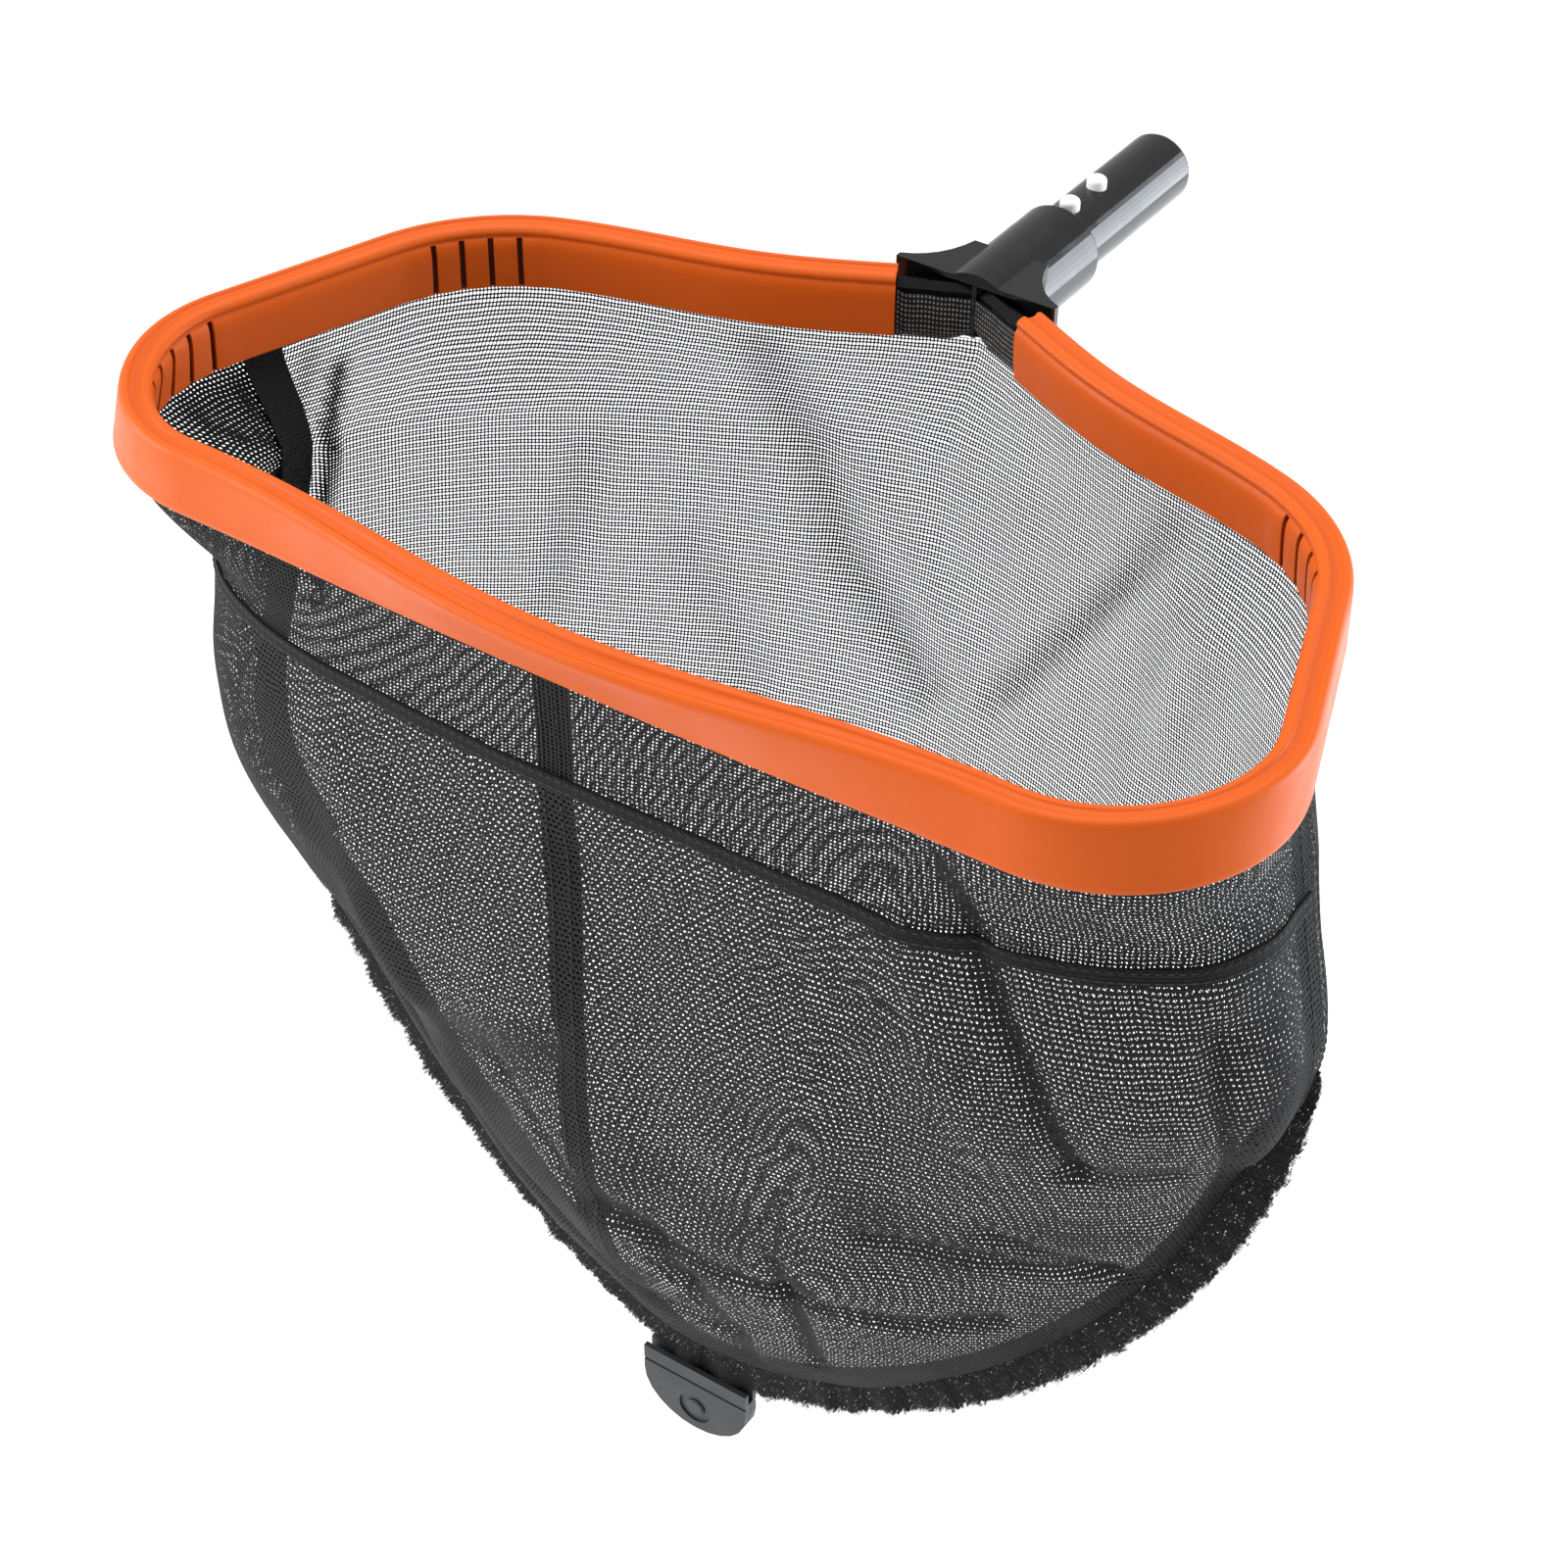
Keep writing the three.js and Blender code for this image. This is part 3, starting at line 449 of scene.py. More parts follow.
class Graph:
    """Short calls for building one material from nodes."""

    def __init__(self, name):
        self.material = bpy.data.materials.new(name)
        self.material.use_nodes = True
        self.tree = self.material.node_tree
        self.shader = self.tree.nodes["Principled BSDF"]
        self.place = self.add("ShaderNodeTexCoord").outputs["Object"]

    def add(self, kind, **settings):
        node = self.tree.nodes.new(kind)
        for key, value in settings.items():
            setattr(node, key, value)
        return node

    def feed(self, socket, value):
        """Puts a number, a colour or another node's output into a socket."""
        if isinstance(value, bpy.types.NodeSocket):
            self.tree.links.new(value, socket)
        else:
            socket.default_value = value

    def math(self, operation, *values):
        node = self.add("ShaderNodeMath", operation=operation)
        for socket, value in zip(node.inputs, values):
            self.feed(socket, value)
        return node.outputs[0]

    def ramp(self, value, low, high, start=0.0, end=1.0):
        node = self.add("ShaderNodeMapRange", interpolation_type="SMOOTHSTEP")
        for socket, number in zip(node.inputs, (value, low, high, start, end)):
            self.feed(socket, number)
        return node.outputs[0]

    def noise(self, scale, detail=3.0, place=None):
        node = self.add("ShaderNodeTexNoise")
        self.feed(node.inputs["Vector"], self.place if place is None else place)
        node.inputs["Scale"].default_value = scale
        node.inputs["Detail"].default_value = detail
        return node.outputs[0]

    def colour(self, factor, low, high):
        node = self.add("ShaderNodeMix", data_type="RGBA")
        self.feed(node.inputs[0], factor)
        node.inputs[6].default_value = (*low, 1)
        node.inputs[7].default_value = (*high, 1)
        return node.outputs[2]

    def bump(self, height, distance, strength=1.0):
        node = self.add("ShaderNodeBump")
        self.feed(node.inputs["Height"], height)
        node.inputs["Distance"].default_value = distance
        node.inputs["Strength"].default_value = strength
        self.feed(self.shader.inputs["Normal"], node.outputs[0])

    def threads(self):
        """Distances across and down the cloth, in metres."""
        uv = self.add("ShaderNodeUVMap", uv_map="cloth").outputs[0]
        parts = self.add("ShaderNodeSeparateXYZ")
        self.feed(parts.inputs[0], uv)
        return uv, parts.outputs[0], parts.outputs[1]

    def attribute(self, name):
        return self.add("ShaderNodeAttribute", attribute_name=name).outputs["Fac"]

    def set(self, **values):
        """Sets shader sockets by name, with _ for a space."""
        for key, value in values.items():
            self.feed(self.shader.inputs[key.replace("_", " ")], value)


def net_fabric(name, pitch, hole, stagger=0.5, slant=0.0, odd_row=1.0, wander=2.2, uneven=0.25):
    """Knitted net: rows of oval openings in black thread.

    pitch is in metres and hole in pitches, both across and down the cloth. Each second row is
    moved along by stagger, and its openings are odd_row times as large.
    """
    g = Graph(name)
    uv, u, v = g.threads()
    drift = g.math("MULTIPLY", g.math("SUBTRACT", g.noise(60, 2, uv), 0.5), wander)
    row = g.math("ADD", g.math("DIVIDE", v, pitch[1]), drift)
    number = g.math("FLOOR", row)
    odd = g.math("FLOORED_MODULO", number, 2.0)
    column = g.math("ADD", g.math("DIVIDE", u, pitch[0]), g.math("MULTIPLY", odd, stagger))
    column = g.math("ADD", column, g.math("MULTIPLY", row, slant))
    column = g.math("ADD", column, g.math("MULTIPLY", drift, 0.4))
    beside = g.math("DIVIDE", g.math("SUBTRACT", g.math("FRACT", column), 0.5), hole[0])
    above = g.math("DIVIDE", g.math("SUBTRACT", g.math("FRACT", row), 0.5), hole[1])
    reach = g.math("ADD", g.math("POWER", g.math("ABSOLUTE", beside), 2.0),
                   g.math("POWER", g.math("ABSOLUTE", above), 2.0))
    small = g.math("ADD", 1.0, g.math("MULTIPLY", odd, odd_row - 1.0))
    varied = g.ramp(g.noise(900, 2, uv), 0.3, 0.7, 1 - uneven, 1 + uneven)
    open_share = g.math("MULTIPLY", small, varied)
    tight = g.math("SUBTRACT", 1.0, g.math("MULTIPLY", g.attribute("gather"), 0.97))
    open_share = g.math("MULTIPLY", open_share, g.math("MAXIMUM", tight, 0.02))
    reach = g.math("DIVIDE", reach, open_share)
    g.set(Alpha=g.ramp(reach, 0.8, 1.2))
    shade = g.colour(g.noise(1500, 3, uv), (0.0027, 0.0027, 0.003), (0.013, 0.013, 0.014))
    g.set(Base_Color=shade, Roughness=0.7, Specular_IOR_Level=0.25)
    twist = g.math("SINE", g.math("MULTIPLY", g.math("ADD", u, v), 2 * math.pi / 0.0005))
    g.bump(g.math("ADD", g.math("MINIMUM", reach, 2.5), g.math("MULTIPLY", twist, 0.15)), 0.0003)
    return g.material


def doubled_net():
    """Two layers of net pressed together: a dark grid with the threads behind showing in its cells."""
    g = Graph("hem net")
    uv, u, v = g.threads()
    cells = []
    for along, pitch in ((u, 0.0015), (v, 0.0021)):
        wave = g.math("SINE", g.math("MULTIPLY", along, 2 * math.pi / pitch))
        cells.append(g.math("ADD", g.math("MULTIPLY", wave, 0.5), 0.5))
    cell = g.math("MULTIPLY", *cells)
    patches = g.ramp(g.noise(300, 3, uv), 0.25, 0.7, 0.35, 1)
    bright = g.math("MULTIPLY", g.ramp(cell, 0.25, 0.75), patches)
    g.set(Base_Color=g.colour(bright, (0.004, 0.004, 0.004), (0.34, 0.34, 0.33)))
    g.set(Roughness=0.7, Specular_IOR_Level=0.3)
    g.bump(g.math("SUBTRACT", 1.0, cell), 0.0003)
    return g.material


def webbing():
    """Black ribbed polyester tape."""
    g = Graph("black webbing")
    uv, u, v = g.threads()
    ribs = g.math("SINE", g.math("MULTIPLY", v, 2 * math.pi / 0.0016))
    warp = g.math("SINE", g.math("MULTIPLY", u, 2 * math.pi / 0.0011))
    height = g.math("ADD", ribs, g.math("MULTIPLY", warp, 0.5))
    height = g.math("ADD", height, g.noise(1200, 2, uv))
    shade = g.colour(g.noise(260, 4, uv), (0.003, 0.003, 0.003), (0.012, 0.012, 0.012))
    g.set(Base_Color=shade, Roughness=0.75, Specular_IOR_Level=0.25)
    g.bump(height, 0.0002)
    return g.material


def fuzzy_band():
    """Doubled, gathered net along the bottom: almost closed, and ragged at its outer edge."""
    g = Graph("gathered band")
    uv = g.threads()[0]
    grain = g.noise(700, 4, uv)
    uneven = g.math("MULTIPLY", g.math("SUBTRACT", grain, 0.5), 0.4)
    ragged = g.math("ADD", g.attribute("edge"), uneven)
    holes = g.ramp(g.noise(1500, 2, uv), 0.36, 0.40)
    g.set(Alpha=g.math("MULTIPLY", holes, g.ramp(ragged, 0.98, 0.86)))
    shade = g.colour(grain, (0.002, 0.002, 0.002), (0.02, 0.02, 0.021))
    g.set(Base_Color=shade, Roughness=0.8, Specular_IOR_Level=0.2)
    g.bump(g.math("ADD", g.noise(420, 3, uv), g.math("MULTIPLY", grain, 0.6)), 0.0016)
    return g.material


def moulded(name, low, high, roughness, grain):
    """Moulded plastic: slightly mottled, with a fine surface grain."""
    g = Graph(name)
    g.set(Base_Color=g.colour(g.noise(35, 4), low, high))
    g.set(Roughness=g.ramp(g.noise(90, 4), 0.3, 0.7, roughness - 0.05, roughness + 0.06))
    g.bump(g.math("ADD", g.noise(1600, 2), g.math("MULTIPLY", g.noise(120, 2), 3.0)), grain)
    return g.material


def orange_plastic():
    """Soft orange edging: slightly mottled, with painted shade inside its slits."""
    g = Graph("orange edging")
    slit = g.attribute("slit")
    plain = g.add("ShaderNodeMix", data_type="RGBA")
    g.feed(plain.inputs[0], slit)
    g.feed(plain.inputs[6], g.colour(g.noise(14, 4), (0.60, 0.088, 0.003), (0.70, 0.112, 0.005)))
    # painted shade: the slit grooves take a near-black brown in place of the orange
    plain.inputs[7].default_value = (0.06, 0.008, 0.002, 1)
    g.set(Base_Color=plain.outputs[2])
    g.set(Roughness=g.ramp(g.noise(60, 4), 0.3, 0.7, 0.36, 0.48), Specular_IOR_Level=0.22)
    g.bump(g.math("ADD", g.noise(1400, 2), g.math("MULTIPLY", g.noise(70, 2), 4.0)), 0.00004)
    return g.material


def metal(name, low, high, roughness):
    """Metal with fine drawing marks along the part."""
    g = Graph(name)
    stretch = g.add("ShaderNodeMapping")
    g.feed(stretch.inputs[0], g.place)
    stretch.inputs["Scale"].default_value = (1, 0.05, 1)
    marks = g.noise(2500, 3, stretch.outputs[0])
    g.set(Base_Color=g.colour(marks, low, high), Metallic=1.0)
    g.set(Roughness=g.ramp(marks, 0.3, 0.7, roughness - 0.08, roughness + 0.08))
    g.bump(marks, 0.00002)
    return g.material


PANEL_FRONT = net_fabric("front net", (0.0021, 0.0024), (0.31, 0.23), slant=0.18)
PANEL_BAND = net_fabric("front band net", (0.0018, 0.0017), (0.28, 0.28), stagger=0.0)
PANEL_BACK = net_fabric("back net", (0.0014, 0.00145), (0.425, 0.415), stagger=0.0, odd_row=0.6,
                        wander=0.9, uneven=0.12)
HEM_NET = doubled_net()
TAPE = webbing()
BAND = fuzzy_band()
ORANGE = orange_plastic()
GLOSS_BLACK = moulded("gloss black plastic", (0.002, 0.002, 0.002), (0.005, 0.005, 0.0055), 0.17,
                      0.00001)
MATTE_GREY = moulded("matte grey plastic", (0.018, 0.020, 0.023), (0.028, 0.031, 0.035), 0.5,
                     0.00005)
THREAD = moulded("black thread", (0.006, 0.006, 0.006), (0.02, 0.02, 0.02), 0.5, 0.00003)
WHITE = moulded("white plastic", (0.74, 0.74, 0.72), (0.84, 0.84, 0.82), 0.4, 0.00002)
BLACK_METAL = metal("black anodised tube", (0.008, 0.008, 0.009), (0.02, 0.02, 0.021), 0.32)
STEEL = metal("stainless steel", (0.5, 0.5, 0.5), (0.68, 0.68, 0.68), 0.3)


# ---------- the bag ----------

NET_THICKNESS = 0.1
TAPE_THICKNESS = 1.0
BAND_THICKNESS = 1.0
HEM_THICKNESS = 0.7
# The net lies this far outside the lofted face, and the middles of the tapes this far from it.
CLOTH_OUT = 0.8
INSIDE = -(CLOTH_OUT - NET_THICKNESS / 2) - TAPE_THICKNESS / 2 + 0.2
OUTSIDE = CLOTH_OUT + NET_THICKNESS / 2 + TAPE_THICKNESS / 2
# Half widths of the tapes, and the distance of the centre tape from the middle of the front.
TAPE_HALF = 7
SIDE_HALF = 8
SEAM_TAPE_HALF = 3.2
CENTRE_TAPE = -9
# The bottom band reaches this far over the pocket, and its ruffles stand out this far.
BAND_OVERLAP = 5
RUFFLE_DEPTH = 3
# The hem's section: shares of the way down, each with its distance from the hoop's line.
HEM_SECTION = ((0, 4.0), (0.25, 4.0), (0.5, 4.0), (0.75, 4.0), (0.88, 3.0), (1, 1.3))
HEM_TOP = 10
HEM_BOTTOM = -14.3
# Past the edging the hem's top is cut lower, and its bottom rises beside the hub.
OPEN_HEM_DROP = 5.5
HUB_NOTCH = 4
# A stitch: its length, the step to the next one, its radius, and how it swells along its length.
STITCH_LENGTH = 2.6
STITCH_PITCH = 3.8
STITCH_RADIUS = 0.28
STITCH_PROFILE = ((0, 0.3), (0.15, 0.9), (0.5, 1.15), (0.85, 0.9), (1, 0.3))
STITCH_RING = np.linspace(0, 2 * np.pi, 6, endpoint=False)

UPPER_LEVELS = np.linspace(TOP + 0.4, BAND_DROP, 15)
# The rows come closer together towards the bottom, where the two faces meet.
LOWER_LEVELS = np.concatenate([
    np.linspace(BAND_DROP - 0.3, POCKET_BOTTOM + 35, 80),
    POCKET_BOTTOM + 0.02 + 31 * np.linspace(1, 0, 16) ** 2,
])
ALL_LEVELS = np.concatenate([UPPER_LEVELS, LOWER_LEVELS[1:]])


def panel(name, levels, front, material):
    """One panel of the bag, which stands for the CAD solid of the same name."""
    points, across, down = bag_face(levels, front)
    points = points + outward(points) * CLOTH_OUT
    points, gather = folded(points, across, front)
    piece = cloth(name, points, across, down, NET_THICKNESS, material, gather)
    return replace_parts(piece, name)


def on_face(levels, front, places):
    """Rows of points on a face. places(left, right) says how far across the cloth they are."""
    points, across, _ = bag_face(levels, front)
    points, _ = folded(points, across, front)
    rows = []
    for row, reach in zip(points, across):
        goals = places(reach[0], reach[-1])
        rows.append(np.stack([np.interp(goals, reach, row[:, k]) for k in range(3)], -1))
    return np.array(rows)


def tape(name, points, distance):
    """A webbing tape on rows of points: outside the bag, or inside for a negative distance."""
    points = points + outward(points) * distance
    piece = cloth(name, points, walked(points, 1), walked(points), TAPE_THICKNESS, TAPE)
    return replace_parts(piece, name)


def stitch(start, following):
    """Rings of points round one stitch, which starts at a point and lies towards the next one."""
    run = direction(following - start)
    side = direction(np.cross(run, [0.31, 0.53, 0.79]))
    rise = np.cross(run, side)
    points = []
    for share, size in STITCH_PROFILE:
        middle = start + run * STITCH_LENGTH * share
        for angle in STITCH_RING:
            spoke = side * np.cos(angle) + rise * np.sin(angle)
            points.append(middle + spoke * STITCH_RADIUS * size)
    return points


def stitches(name, lines):
    """Short raised stitches along lines of points, as one piece."""
    points = []
    faces = []
    for line in lines:
        even, _ = resample(line, int(walked(line)[-1] / STITCH_PITCH) + 2)
        for start, following in zip(even, even[1:]):
            rings = grid_faces(len(STITCH_PROFILE), len(STITCH_RING), closed=True)
            faces.extend((rings + len(points)).tolist())
            points.extend(stitch(start, following))
    return mesh_object(name, points, faces, THREAD)


def centre_places(left, right):
    """Distances across the front face of the centre tape's columns; the ends don't matter."""
    return CENTRE_TAPE + np.linspace(-TAPE_HALF, TAPE_HALF, 5)


def side_rows(side, levels):
    """Rows of points round a side seam, from the front face to the back face."""
    def near_seam(distances):
        return lambda left, right: (left if side < 0 else right) - side * distances
    front = on_face(levels, True, near_seam(np.linspace(SIDE_HALF, 1.5, 4)))
    back = on_face(levels, False, near_seam(np.linspace(1.5, SIDE_HALF, 4)))
    return np.concatenate([front, back], axis=1)


def band_outline(count):
    """Even points (x, z) along the outer edge of the bag, from one end of the band to the other."""
    halves = []
    for side in (-1, 1):
        z = BOTTOM + (BAND_ENDS[side] - BOTTOM) * np.linspace(0, 1, 300) ** 2
        halves.append(np.stack([side * half_width(z, side, WIDE[side], BOTTOM), z], -1))
    outer = np.concatenate([halves[0][:0:-1], halves[1]])
    outer, _ = resample(np.insert(outer, 1, 0, axis=1), count)
    return outer[:, [0, 2]]


def wave_along(distances, size, seed):
    """A soft uneven wave along a line, between -1 and 1."""
    return np.array([noise.noise(Vector((value / size, 0, seed))) for value in distances])


def bottom_band():
    """The doubled band along the bottom, gathered into small ruffles."""
    position = np.linspace(-1, 1, 841)
    outer = band_outline(len(position))
    ahead = direction(np.gradient(outer, axis=0))
    inward = np.stack([-ahead[:, 1], ahead[:, 0]], -1)
    inward *= np.sign(np.mean(inward[:, 1]))
    columns = np.linspace(0, 1, 11)
    along = walked(outer)
    jitter = wave_along(along, 9, 5)
    ruffle = wave_along(along, 11, 1)
    width = np.where(position < 0, *(band_width(outer[:, 1], side) for side in (-1, 1)))
    width = width + BAND_OVERLAP
    rows = []
    for share in columns:
        edge = 1 - share
        reach = share * width - 1.5 * (1 + jitter) * edge
        flat = outer + inward * reach[:, None]
        y = seam_y(flat[:, 1]) + RUFFLE_DEPTH * ruffle * edge
        rows.append(np.stack([flat[:, 0], y, flat[:, 1]], -1))
    points = np.array(rows).transpose(1, 0, 2)
    across = np.tile(columns * (BAND_WIDTH + BAND_OVERLAP), (len(position), 1))
    down = np.tile(along[:, None], (1, len(columns)))
    piece = cloth("bottom_band", points, across, down, BAND_THICKNESS, BAND)
    paint(piece, "edge", np.tile(1 - columns, 2 * len(position)))
    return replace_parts(piece, "bottom_band")


def hem():
    """The folded top of the bag: two layers of net beside the tube, cut lower at the hub."""
    last = HALF_LENGTH - 1.5
    s = np.linspace(-last, last, 560)
    past_edging = smooth(EDGED_LENGTH - 6, EDGED_LENGTH + 4, np.abs(s))
    top = HEM_TOP - (OPEN_HEM_DROP - 0.8 * wave_along(s, 9, 2)) * past_edging
    notch = HUB_NOTCH * smooth(HALF_LENGTH - 12, HALF_LENGTH, np.abs(s))
    flaps = []
    for name, side in (("hem_inner", -1), ("hem_outer", 1)):
        rows = []
        for share, u in HEM_SECTION:
            v = top + (HEM_BOTTOM + notch - top) * share
            rows.append(hoop_points(s, side * u, v))
        points = np.array(rows)
        across = np.tile(s, (len(rows), 1))
        flap = cloth(name, points, across, walked(points), HEM_THICKNESS, HEM_NET)
        flaps.append(flap)
    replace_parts(flaps[1], "hem_sleeve")
    return flaps


front_band = panel("bag_front_band", UPPER_LEVELS, True, PANEL_BAND)
front_panel = panel("bag_front_panel", LOWER_LEVELS, True, PANEL_FRONT)
back_panel = panel("bag_back_panel", ALL_LEVELS, False, PANEL_BACK)

seam_levels = np.linspace(BAND_DROP + SEAM_TAPE_HALF, BAND_DROP - SEAM_TAPE_HALF, 6)
seam_rows = on_face(seam_levels, True, lambda left, right: np.linspace(left + 2, right - 2, 170))
centre_rows = on_face(ALL_LEVELS[ALL_LEVELS > POCKET_BOTTOM + 6], True, centre_places)
left_rows, right_rows = (
    side_rows(side, ALL_LEVELS[ALL_LEVELS > BAND_ENDS[side] - 30]) for side in (-1, 1)
)
seam_tape = tape("band_seam_tape", seam_rows, OUTSIDE)
centre_tape = tape("centre_tape", centre_rows, INSIDE)
side_tapes = [
    tape("side_tape_left", left_rows, INSIDE),
    tape("side_tape_right", right_rows, INSIDE),
]
band = bottom_band()
hem_inner, hem_outer = hem()


def lifted(rows, distance):
    """Rows of points lifted off their face."""
    return rows + outward(rows) * distance


OUTER_FACE = OUTSIDE + TAPE_THICKNESS / 2 + 0.1
NET_FACE = CLOTH_OUT + NET_THICKNESS / 2 + 0.1
seam_lines = [lifted(seam_rows, OUTER_FACE)[row] for row in (1, 4)]
centre_lines = [lifted(centre_rows, NET_FACE)[:, column] for column in (1, 3)]
side_lines = [
    lifted(rows, NET_FACE)[:, column] for rows in (left_rows, right_rows) for column in (1, 6)
]
seam_stitches = stitches("seam_stitches", seam_lines)
centre_stitches = stitches("centre_stitches", centre_lines)
side_stitches = stitches("side_stitches", side_lines)


# ---------- edging ----------

# The relief slits at each corner: how many, the step between them, half their width, the width
# of their sloping sides, their depth, and how high they reach.
FRONT_SLITS = 11
BACK_SLITS = 4
SLIT_PITCH = 12
SLIT_HALF = 0.9
SLIT_SIDE = 0.35
SLIT_DEPTH = 1.2
SLIT_TOP = 8.2


def rounded(loop, times=2):
    """Cuts the corners of a closed outline."""
    for _ in range(times):
        following = np.roll(loop, -1, axis=0)
        cuts = [loop * 0.75 + following * 0.25, loop * 0.25 + following * 0.75]
        loop = np.stack(cuts, 1).reshape(-1, 2)
    return loop


def edging_outline():
    """Section of the edging: a soft channel that clips down over the hem and the tube."""
    side = EDGING_WIDTH / 2
    top = EDGING_HEIGHT / 2
    wall = 1.3
    inside = side - wall
    under = top - wall - 0.7
    outer_wall = [
        (side, -top), (side + 0.4, -top + 2), (side + 0.2, -top + 4.5), (side, top - 4),
        (side - 0.4, top - 1.6), (side - 1.6, top - 0.3),
    ]
    grooved_top = [
        (side - 3.4, top), (side - 4.1, top - 1.4), (-side + 4.5, top - 1.4), (-side + 3.6, top),
    ]
    inner_wall = [
        (-side + 1.4, top - 0.4), (-side - 0.1, top - 2), (-side + 0.1, top - 3.4),
        (-side + 0.7, top - 4.2), (-side - 0.3, top - 5.4), (-side - 0.9, top - 8),
        (-side - 0.9, top - 12), (-side - 0.4, -top + 6), (-side, -top + 2), (-side, -top),
    ]
    channel = [
        (-inside, -top), (-inside, -top + 2), (-inside, under - 1.9), (-inside + 1.6, under),
        (inside - 1.6, under), (inside, under - 1.9), (inside, -top + 2), (inside, -top),
    ]
    return rounded(np.array(outer_wall + grooved_top + inner_wall + channel, float))


def slit_row(middle, count):
    """Distances along the hoop of a row of slits round a middle place."""
    return middle + (np.arange(count) - (count - 1) / 2) * SLIT_PITCH


def slit_places():
    """Distances along the hoop of the relief slits at the corners."""
    marks = HOOP["marks"]
    front = slit_row((marks[1] + marks[2]) / 2 - 11, FRONT_SLITS)
    back = slit_row((marks[3] + marks[4]) / 2, BACK_SLITS)
    half = np.concatenate([front, back])
    return np.concatenate([-half[::-1], half])


def edging():
    """The orange edging, swept along the hoop. Its inner wall is slit, and puffs up beside slits."""
    slits = slit_places()
    even = np.linspace(-EDGED_LENGTH, EDGED_LENGTH, 420)
    away = np.abs(even[:, None] - slits).min(axis=1)
    offsets = (-SLIT_HALF - SLIT_SIDE, -SLIT_HALF, SLIT_HALF, SLIT_HALF + SLIT_SIDE)
    s = np.sort(np.concatenate([even[away > 2.2], *(slits + offset for offset in offsets)]))
    outline = edging_outline()
    nearest = np.abs(s[:, None] - slits).min(axis=1)
    inner_wall = (outline[:, 0] < -EDGING_WIDTH / 2 + 0.6) & (outline[:, 1] < SLIT_TOP)
    in_slit = (nearest < SLIT_HALF + 0.1)[:, None] & inner_wall
    puff = 0.5 * np.exp(-((nearest - 6) / 3) ** 2)[:, None] * inner_wall
    u = np.where(in_slit, -EDGING_WIDTH / 2 + SLIT_DEPTH, outline[:, 0] - puff)
    v = np.broadcast_to(outline[:, 1], u.shape)
    points = hoop_points(s[:, None], u, v)
    rows, columns = u.shape
    faces = grid_faces(rows, columns, closed=True).tolist()
    piece = mesh_object("edging_strip", points.reshape(-1, 3), faces, ORANGE)
    end_caps(piece.data, columns)
    # marks the slit grooves, where the orange material paints shade
    paint(piece, "slit", in_slit.ravel())
    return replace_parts(piece, "edging_strip")


def end_caps(mesh, columns):
    """Closes both ends of a swept piece."""
    shape = bmesh.new()
    shape.from_mesh(mesh)
    shape.verts.ensure_lookup_table()
    count = len(shape.verts)
    shape.faces.new([shape.verts[i] for i in range(columns)][::-1])
    shape.faces.new([shape.verts[i] for i in range(count - columns, count)])
    bmesh.ops.recalc_face_normals(shape, faces=shape.faces)
    shape.to_mesh(mesh)
    shape.free()


edging()


# ---------- materials of the moulded and metal parts ----------

FINISHES = [
    (BLACK_METAL, ["frame_tube"]),
    (MATTE_GREY, ["tab_front_half", "tab_back_half", "tab_snap_pin", "tab_snap_cap"]),
    (GLOSS_BLACK, ["hub_body", "hub_clamp_plate", "spigot_tube"]),
    (WHITE, ["snap_button_inner", "snap_button_outer"]),
    (STEEL, ["leaf_spring_inner", "leaf_spring_outer", "spigot_screw"]),
    (STEEL, [f"clamp_screw_{number}" for number in (1, 2, 3, 4)]),
]
for finish, nodes in FINISHES:
    for node in nodes:
        for material_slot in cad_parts[node].material_slots:
            material_slot.material = finish


# ---------- the leaf springs get meshes of their own --------------------

for which in ("inner", "outer"):
    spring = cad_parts[f"leaf_spring_{which}"]
    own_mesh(spring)


# ---------- floor, light and camera ----------

# Sizes and places here are in metres.
FLOOR_REACH = 12
FLOOR_GAP = 0.45
CAMERA_PLACE = (0.5221, -0.9662, 0.6226)
CAMERA_TURN = (50.79, -0.44, 34.19)
CAMERA_LENS = 73.67


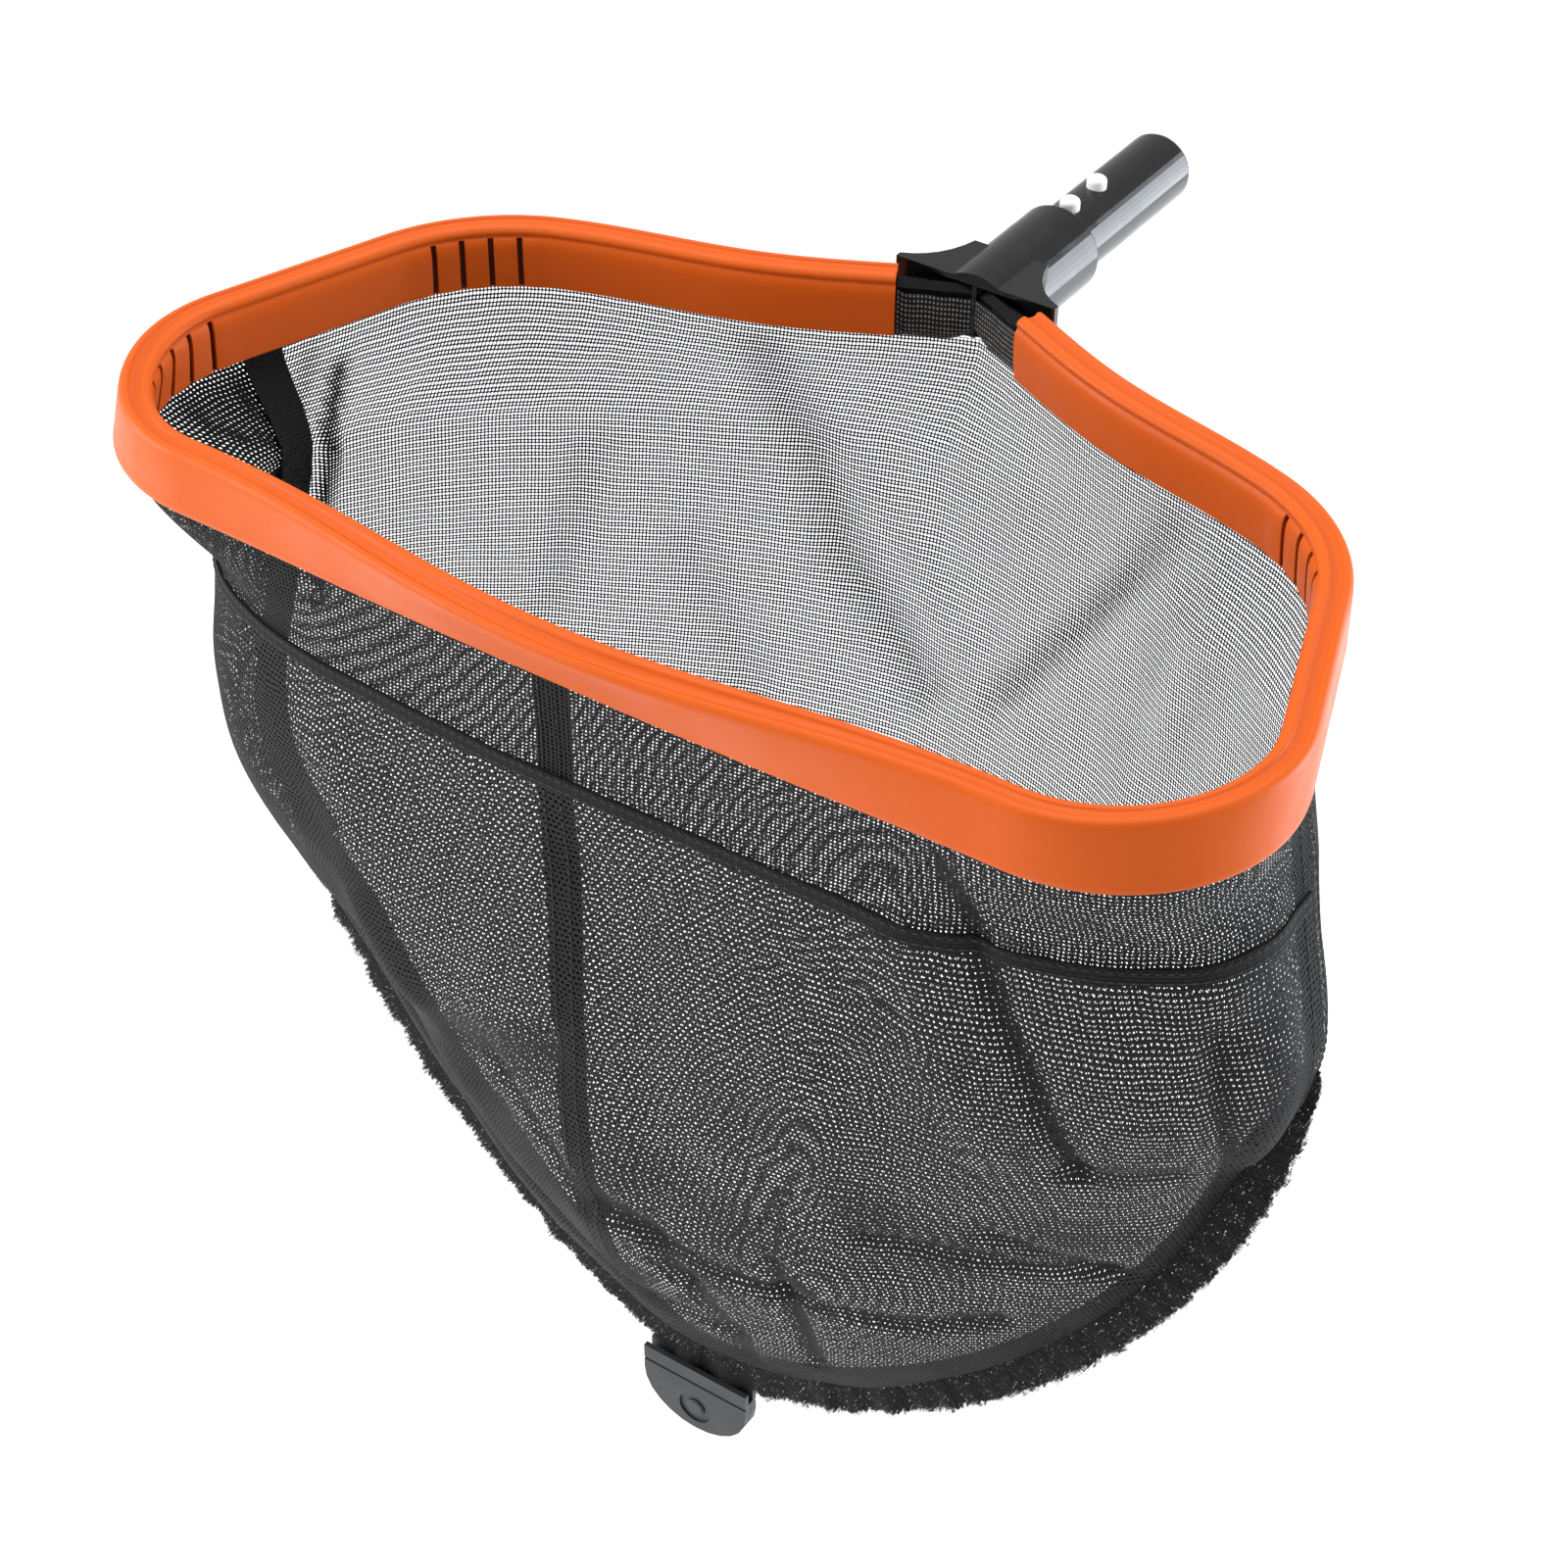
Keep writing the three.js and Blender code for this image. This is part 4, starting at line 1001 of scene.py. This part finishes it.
def floor():
    """A plain pale floor below the bag."""
    mesh = bpy.data.meshes.new("floor")
    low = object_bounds()[0][2] - FLOOR_GAP
    signs = [(-1, -1), (1, -1), (1, 1), (-1, 1)]
    corners = [(x * FLOOR_REACH, y * FLOOR_REACH, low) for x, y in signs]
    mesh.from_pydata(corners, [], [(0, 1, 2, 3)])
    g = Graph("pale floor")
    g.set(Base_Color=g.colour(g.noise(2, 2), (0.95, 0.95, 0.95), (0.97, 0.97, 0.97)), Roughness=0.9)
    mesh.materials.append(g.material)
    plane = bpy.data.objects.new("floor", mesh)
    bpy.context.collection.objects.link(plane)
    plane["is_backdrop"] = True


def area_light(name, place, target, size, power, colour=(1, 1, 1)):
    """A soft square light that faces a target."""
    light = bpy.data.lights.new(name, "AREA")
    light.size = size
    light.energy = power
    light.color = colour
    lamp = bpy.data.objects.new(name, light)
    lamp.location = place
    lamp.rotation_euler = (Vector(target) - Vector(place)).to_track_quat("-Z", "Y").to_euler()
    bpy.context.collection.objects.link(lamp)


def lighting():
    """A white studio with one light above and one on each side."""
    world = bpy.data.worlds.new("studio")
    bpy.context.scene.world = world
    world.use_nodes = True
    background = world.node_tree.nodes["Background"]
    background.inputs["Color"].default_value = (1, 1, 1, 1)
    background.inputs["Strength"].default_value = 0.6
    area_light("top", (-0.3, 0.2, 2.8), (0, -0.1, -0.6), 3.2, 82)
    area_light("front_left", (-1.7, -1.3, 0.35), (-0.1, -0.3, 0), 1.6, 42)
    area_light("right", (1.5, 1.35, -0.05), (0, 0, 0), 1.5, 50, (0.88, 0.93, 1))


def camera():
    """The photograph's view."""
    lens = bpy.data.cameras.new("camera")
    lens.sensor_width = 36
    lens.lens = CAMERA_LENS
    eye = bpy.data.objects.new("camera", lens)
    eye.location = CAMERA_PLACE
    eye.rotation_euler = [math.radians(angle) for angle in CAMERA_TURN]
    bpy.context.collection.objects.link(eye)
    bpy.context.scene.camera = eye
    bpy.context.scene.view_settings.view_transform = "Standard"


floor()
lighting()
camera()
